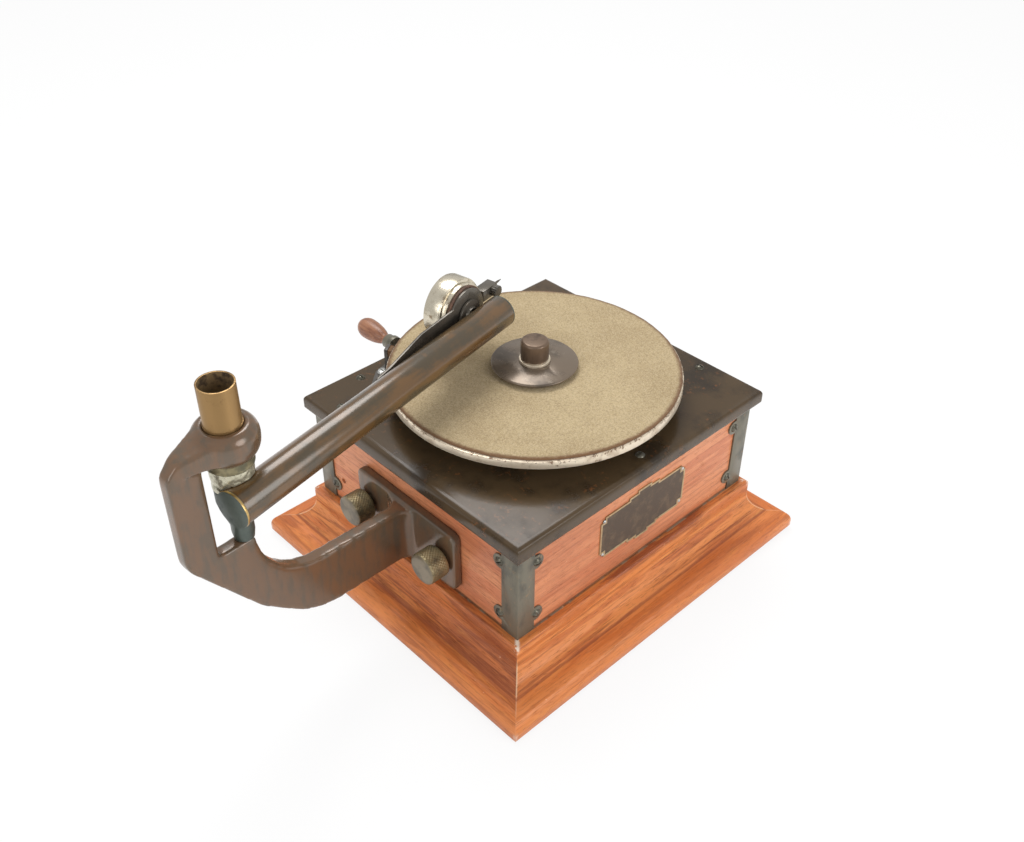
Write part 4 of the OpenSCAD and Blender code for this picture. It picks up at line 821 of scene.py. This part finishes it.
def wall_outward(low, high):
    """A screw in a wall points along its longer horizontal side, away from the middle."""
    centre = (low + high) / 2
    size = high - low
    if size.x > size.y:
        return Vector((math.copysign(1, centre.x), 0, 0))
    return Vector((0, math.copysign(1, centre.y), 0))


heads_on("bracket_screws", "bracket_screw_heads", wall_outward, 0.0033, 4, dark_screw)
heads_on("plate_screws", "plate_screw_heads", lambda low, high: Vector((0, 0, 1)), 0.0034, 9,
         dark_screw)

# %% [markdown]
# ## Knurled thumb screws
# A knurling wheel presses two sets of crossing grooves, so the skin is a grid of little
# diamonds. The radius of each point follows from where it lies between the two sets.

# %% Knurled heads
PLATE_FACE = -HALF_Y - 0.0072  # the bracket's mounting plate, where the heads press


def knurled_screw(node):
    low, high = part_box(node)
    centre = (low + high) / 2
    head_r = (high.x - low.x) / 2
    front = low.y
    neck = 0.0135
    turns = 30
    rows = 22
    columns = 240
    depth = 0.00045
    shank = 0.0045
    thread = 0.003
    made = bmesh.new()
    grid = []
    for i in range(rows + 1):
        along = i / rows
        ring = []
        for j in range(columns):
            angle = 2 * math.pi * j / columns
            u = angle * turns / math.pi / 2
            v = along * neck / head_r * turns / math.pi / 2
            ridge = max(abs(((u + v) % 1) - 0.5), abs(((u - v) % 1) - 0.5)) * 2
            edge = min(1.0, min(along, 1 - along) * rows / 2)
            radius = head_r - 0.0002 - depth * (ridge ** 3) * edge - 0.0004 * (1 - edge)
            ring.append(made.verts.new((centre.x + radius * math.cos(angle),
                                        front + 0.0008 + along * neck,
                                        centre.z + radius * math.sin(angle))))
        grid.append(ring)

    def cap(ring, profile):
        """Closes a ring with smaller rings: (radius, step along -Y) each."""
        for radius, y in profile:
            ring_next = [made.verts.new((centre.x + radius * math.cos(a), y,
                                         centre.z + radius * math.sin(a)))
                         for a in (2 * math.pi * j / columns for j in range(columns))]
            bridge(ring, ring_next)
            ring = ring_next
        made.faces.new(ring)

    def bridge(first, second):
        for j in range(columns):
            k = (j + 1) % columns
            made.faces.new((first[j], first[k], second[k], second[j]))

    for first, second in zip(grid, grid[1:]):
        bridge(first, second)
    cap(grid[0], [(head_r - 0.0014, front + 0.0003), (head_r - 0.0024, front),
                  (head_r * 0.3, front + 0.0004)])
    back = front + 0.0008 + neck
    cap(grid[-1], [(head_r - 0.0014, back + 0.0003), (shank, back + 0.0004),
                   (shank, PLATE_FACE - 0.0001), (thread, PLATE_FACE), (thread, high.y)])
    bmesh.ops.recalc_face_normals(made, faces=made.faces)
    mesh = bpy.data.meshes.new(node + "_knurled")
    made.to_mesh(mesh)
    made.free()
    piece = new_piece(node + "_knurled", shade(mesh, math.radians(50)), node, thumb_metal)
    mesh.materials.append(thumb_face)
    for polygon in mesh.polygons:
        if polygon.center.y < front + 0.0007:
            polygon.material_index = 1
    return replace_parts(piece, node)


for node in ("thumb_screw_left", "thumb_screw_right"):
    knurled_screw(node)

# %% [markdown]
# ## The nameplate
# An etched plate is a dark sunk field inside a raised bright border that follows the stepped
# outline. The border is built from the same outline twice, the second time moved inwards.

# %% Etched metal and the plate
def etched_metal():
    f = Finish("nameplate_field")
    wear = f.noise(f.place, scale=120, detail=5, rough=0.7)
    tone = f.mix(f.ease(wear, 0.45, 0.7), (0.095, 0.07, 0.05), (0.16, 0.115, 0.075))
    f.bump(f.noise(f.place, scale=1400, detail=2), 0.0001)
    return f.set(Base_Color=tone, Metallic=0.5, Roughness=0.42 + wear * 0.15)


border_metal = metal("nameplate_border", (0.5, 0.38, 0.22), (0.3, 0.21, 0.12),
                     (0.12, 0.08, 0.05), cover=0.4, metallic=0.75, rough=(0.3, 0.45))
field_metal = etched_metal()
plate_low, plate_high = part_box("nameplate")
plate_mid = (plate_low + plate_high) / 2


def plate_outline(inset):
    """The stepped outline as (y, z) offsets from the plate's middle, moved inwards."""
    half_w = (plate_high.y - plate_low.y) / 2
    half_h = (plate_high.z - plate_low.z) / 2
    ear = 0.004
    crest_w = half_w * 0.16
    crest_mid = half_w * 0.36
    quarter = [(half_w, half_h - 2 * ear), (half_w - ear, half_h - 2 * ear),
               (half_w - ear, half_h - ear), (crest_mid, half_h - ear),
               (crest_mid, half_h - ear / 2), (crest_w, half_h - ear / 2), (crest_w, half_h)]
    ring = []
    for sy, sz in ((1, 1), (-1, 1), (-1, -1), (1, -1)):
        corner = [(y * sy, z * sz) for y, z in quarter]
        ring += corner if sy * sz > 0 else corner[::-1]
    moved = []
    for k, point in enumerate(ring):
        before = ring[k - 1]
        after = ring[(k + 1) % len(ring)]
        a = Vector((point[0] - before[0], point[1] - before[1])).normalized()
        b = Vector((after[0] - point[0], after[1] - point[1])).normalized()
        inward = Vector((-a.y - b.y, a.x + b.x))
        moved.append((point[0] + inward.x * inset, point[1] + inward.y * inset))
    return moved


def nameplate():
    made = bmesh.new()
    face_x = plate_high.x
    levels = [(0.0, plate_low.x), (0.0, face_x - 0.0002), (0.0002, face_x),
              (0.0012, face_x), (0.0014, face_x - 0.0003)]
    rings = []
    for inset, x in levels:
        rings.append([made.verts.new((x, plate_mid.y + y, plate_mid.z + z))
                      for y, z in plate_outline(inset)])
    count = len(rings[0])
    for first, second in zip(rings, rings[1:]):
        for i in range(count):
            j = (i + 1) % count
            made.faces.new((first[i], first[j], second[j], second[i]))
    made.faces.new(rings[-1])
    made.faces.new(rings[0])
    bmesh.ops.recalc_face_normals(made, faces=made.faces)
    mesh = bpy.data.meshes.new("nameplate_etched")
    made.to_mesh(mesh)
    made.free()
    piece = new_piece("nameplate_etched", mesh, "nameplate", border_metal)
    mesh.materials.append(field_metal)
    for polygon in mesh.polygons:
        if len(polygon.vertices) == count:
            polygon.material_index = 1
    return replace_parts(piece, "nameplate")


nameplate()
heads_on("nameplate_pins", "nameplate_pin_heads",
         lambda low, high: Vector((1, 0, 0)), 0.0014, 2, steel_metal)

# %% [markdown]
# ## Solder around the horn tube
# Someone soldered the upright tube to the arm by hand, and the solder stayed lumpy. The
# engineering solids of the joint and its flange are remeshed, then pushed about by a cloud
# pattern. The flange's rings stay crisp enough to read.

# %% Lumpy solder
def lumpy(node, name, cell, passes, amount, size):
    """amount is how far the lumps push the skin, size how wide they are."""
    clouds = bpy.data.textures.new(name + "_clouds", "CLOUDS")
    clouds.noise_scale = size
    push = ("DISPLACE", {"texture": clouds, "strength": amount, "mid_level": 0.6,
                         "texture_coords": "LOCAL"})
    piece = relaxed_skin(node, name, cell, passes, push)
    print(name, "has", len(piece.data.polygons), "faces")


lumpy("solder_joint", "solder_lumps", cell=0.0006, passes=6, amount=0.0011, size=0.004)
lumpy("horn_flange", "flange_rings", cell=0.0005, passes=2, amount=0.0004, size=0.005)

# %% [markdown]
# ## Floor, light and camera
# A plain pale floor that goes white for the camera but keeps the shadow, a pale world that
# metals can mirror, and three plain soft lamps. Nothing here is part of the object.

# %% Floor and world
FLOOR_SIZE = 12.0
WORLD_LIGHT = 0.62
GLOW_SHARE = 0.86  # the rest is plain floor, which keeps the object's shadow


def white_for_camera(tree, plain):
    """Mixes in a white glow that only the camera sees."""
    ray = tree.nodes.new("ShaderNodeLightPath")
    glow = tree.nodes.new("ShaderNodeEmission")
    most = tree.nodes.new("ShaderNodeMath")
    most.operation = "MULTIPLY"
    most.inputs[1].default_value = GLOW_SHARE
    tree.links.new(ray.outputs["Is Camera Ray"], most.inputs[0])
    mixed = tree.nodes.new("ShaderNodeMixShader")
    tree.links.new(most.outputs[0], mixed.inputs[0])
    tree.links.new(plain, mixed.inputs[1])
    tree.links.new(glow.outputs[0], mixed.inputs[2])
    return mixed.outputs[0]


def floor():
    mesh = bpy.data.meshes.new("floor")
    half = FLOOR_SIZE / 2
    corners = [(-half, -half, 0), (half, -half, 0), (half, half, 0), (-half, half, 0)]
    mesh.from_pydata(corners, [], [(0, 1, 2, 3)])
    thing = bpy.data.objects.new("floor", mesh)
    bpy.context.scene.collection.objects.link(thing)
    thing.location.z = -0.0005
    material = bpy.data.materials.new("floor_white")
    material.use_nodes = True
    tree = material.node_tree
    shader = tree.nodes["Principled BSDF"]
    shader.inputs["Base Color"].default_value = (0.93, 0.93, 0.93, 1)
    shader.inputs["Roughness"].default_value = 0.9
    out = tree.nodes["Material Output"]
    tree.links.new(white_for_camera(tree, shader.outputs[0]), out.inputs[0])
    mesh.materials.append(material)


def world():
    sky = bpy.data.worlds.new("white_room")
    sky.use_nodes = True
    tree = sky.node_tree
    back = tree.nodes["Background"]
    ray = tree.nodes.new("ShaderNodeLightPath")
    back.inputs["Color"].default_value = (1, 1, 1, 1)
    seen = tree.nodes.new("ShaderNodeMath")
    seen.operation = "MULTIPLY_ADD"
    tree.links.new(ray.outputs["Is Camera Ray"], seen.inputs[0])
    seen.inputs[1].default_value = 1.0 - WORLD_LIGHT
    seen.inputs[2].default_value = WORLD_LIGHT
    tree.links.new(seen.outputs[0], back.inputs["Strength"])
    bpy.context.scene.world = sky


floor()
world()

# %% Lamps and camera
TARGET = Vector((-0.0255, 0.0032, 0.0871))
CAMERA_AT = Vector((0.4461, -0.4461, 0.5842))
CAMERA_ROLL = math.radians(0.17)
LENS = 39.33


def lamp(name, at, size, watts):
    light = bpy.data.lights.new(name, "AREA")
    light.shape = "DISK"
    light.size = size
    light.energy = watts
    thing = bpy.data.objects.new(name, light)
    bpy.context.scene.collection.objects.link(thing)
    thing.location = at
    thing.rotation_euler = (TARGET - Vector(at)).to_track_quat("-Z", "Y").to_euler()


lamp("high_left", (-0.6, 0.3, 1.45), 0.9, 13.0)
lamp("front_fill", (0.1, -1.5, 0.8), 0.9, 5.0)
lamp("right_fill", (1.35, 0.25, 0.7), 0.9, 8.0)

camera_data = bpy.data.cameras.new("photo_view")
camera_data.lens = LENS
camera_data.sensor_width = 36
camera = bpy.data.objects.new("photo_view", camera_data)
bpy.context.scene.collection.objects.link(camera)
camera.location = CAMERA_AT
look = (TARGET - CAMERA_AT).to_track_quat("-Z", "Y")
camera.rotation_mode = "QUATERNION"
camera.rotation_quaternion = look @ Matrix.Rotation(CAMERA_ROLL, 4, "Z").to_quaternion()
bpy.context.scene.camera = camera
bpy.context.scene.view_settings.view_transform = "Standard"
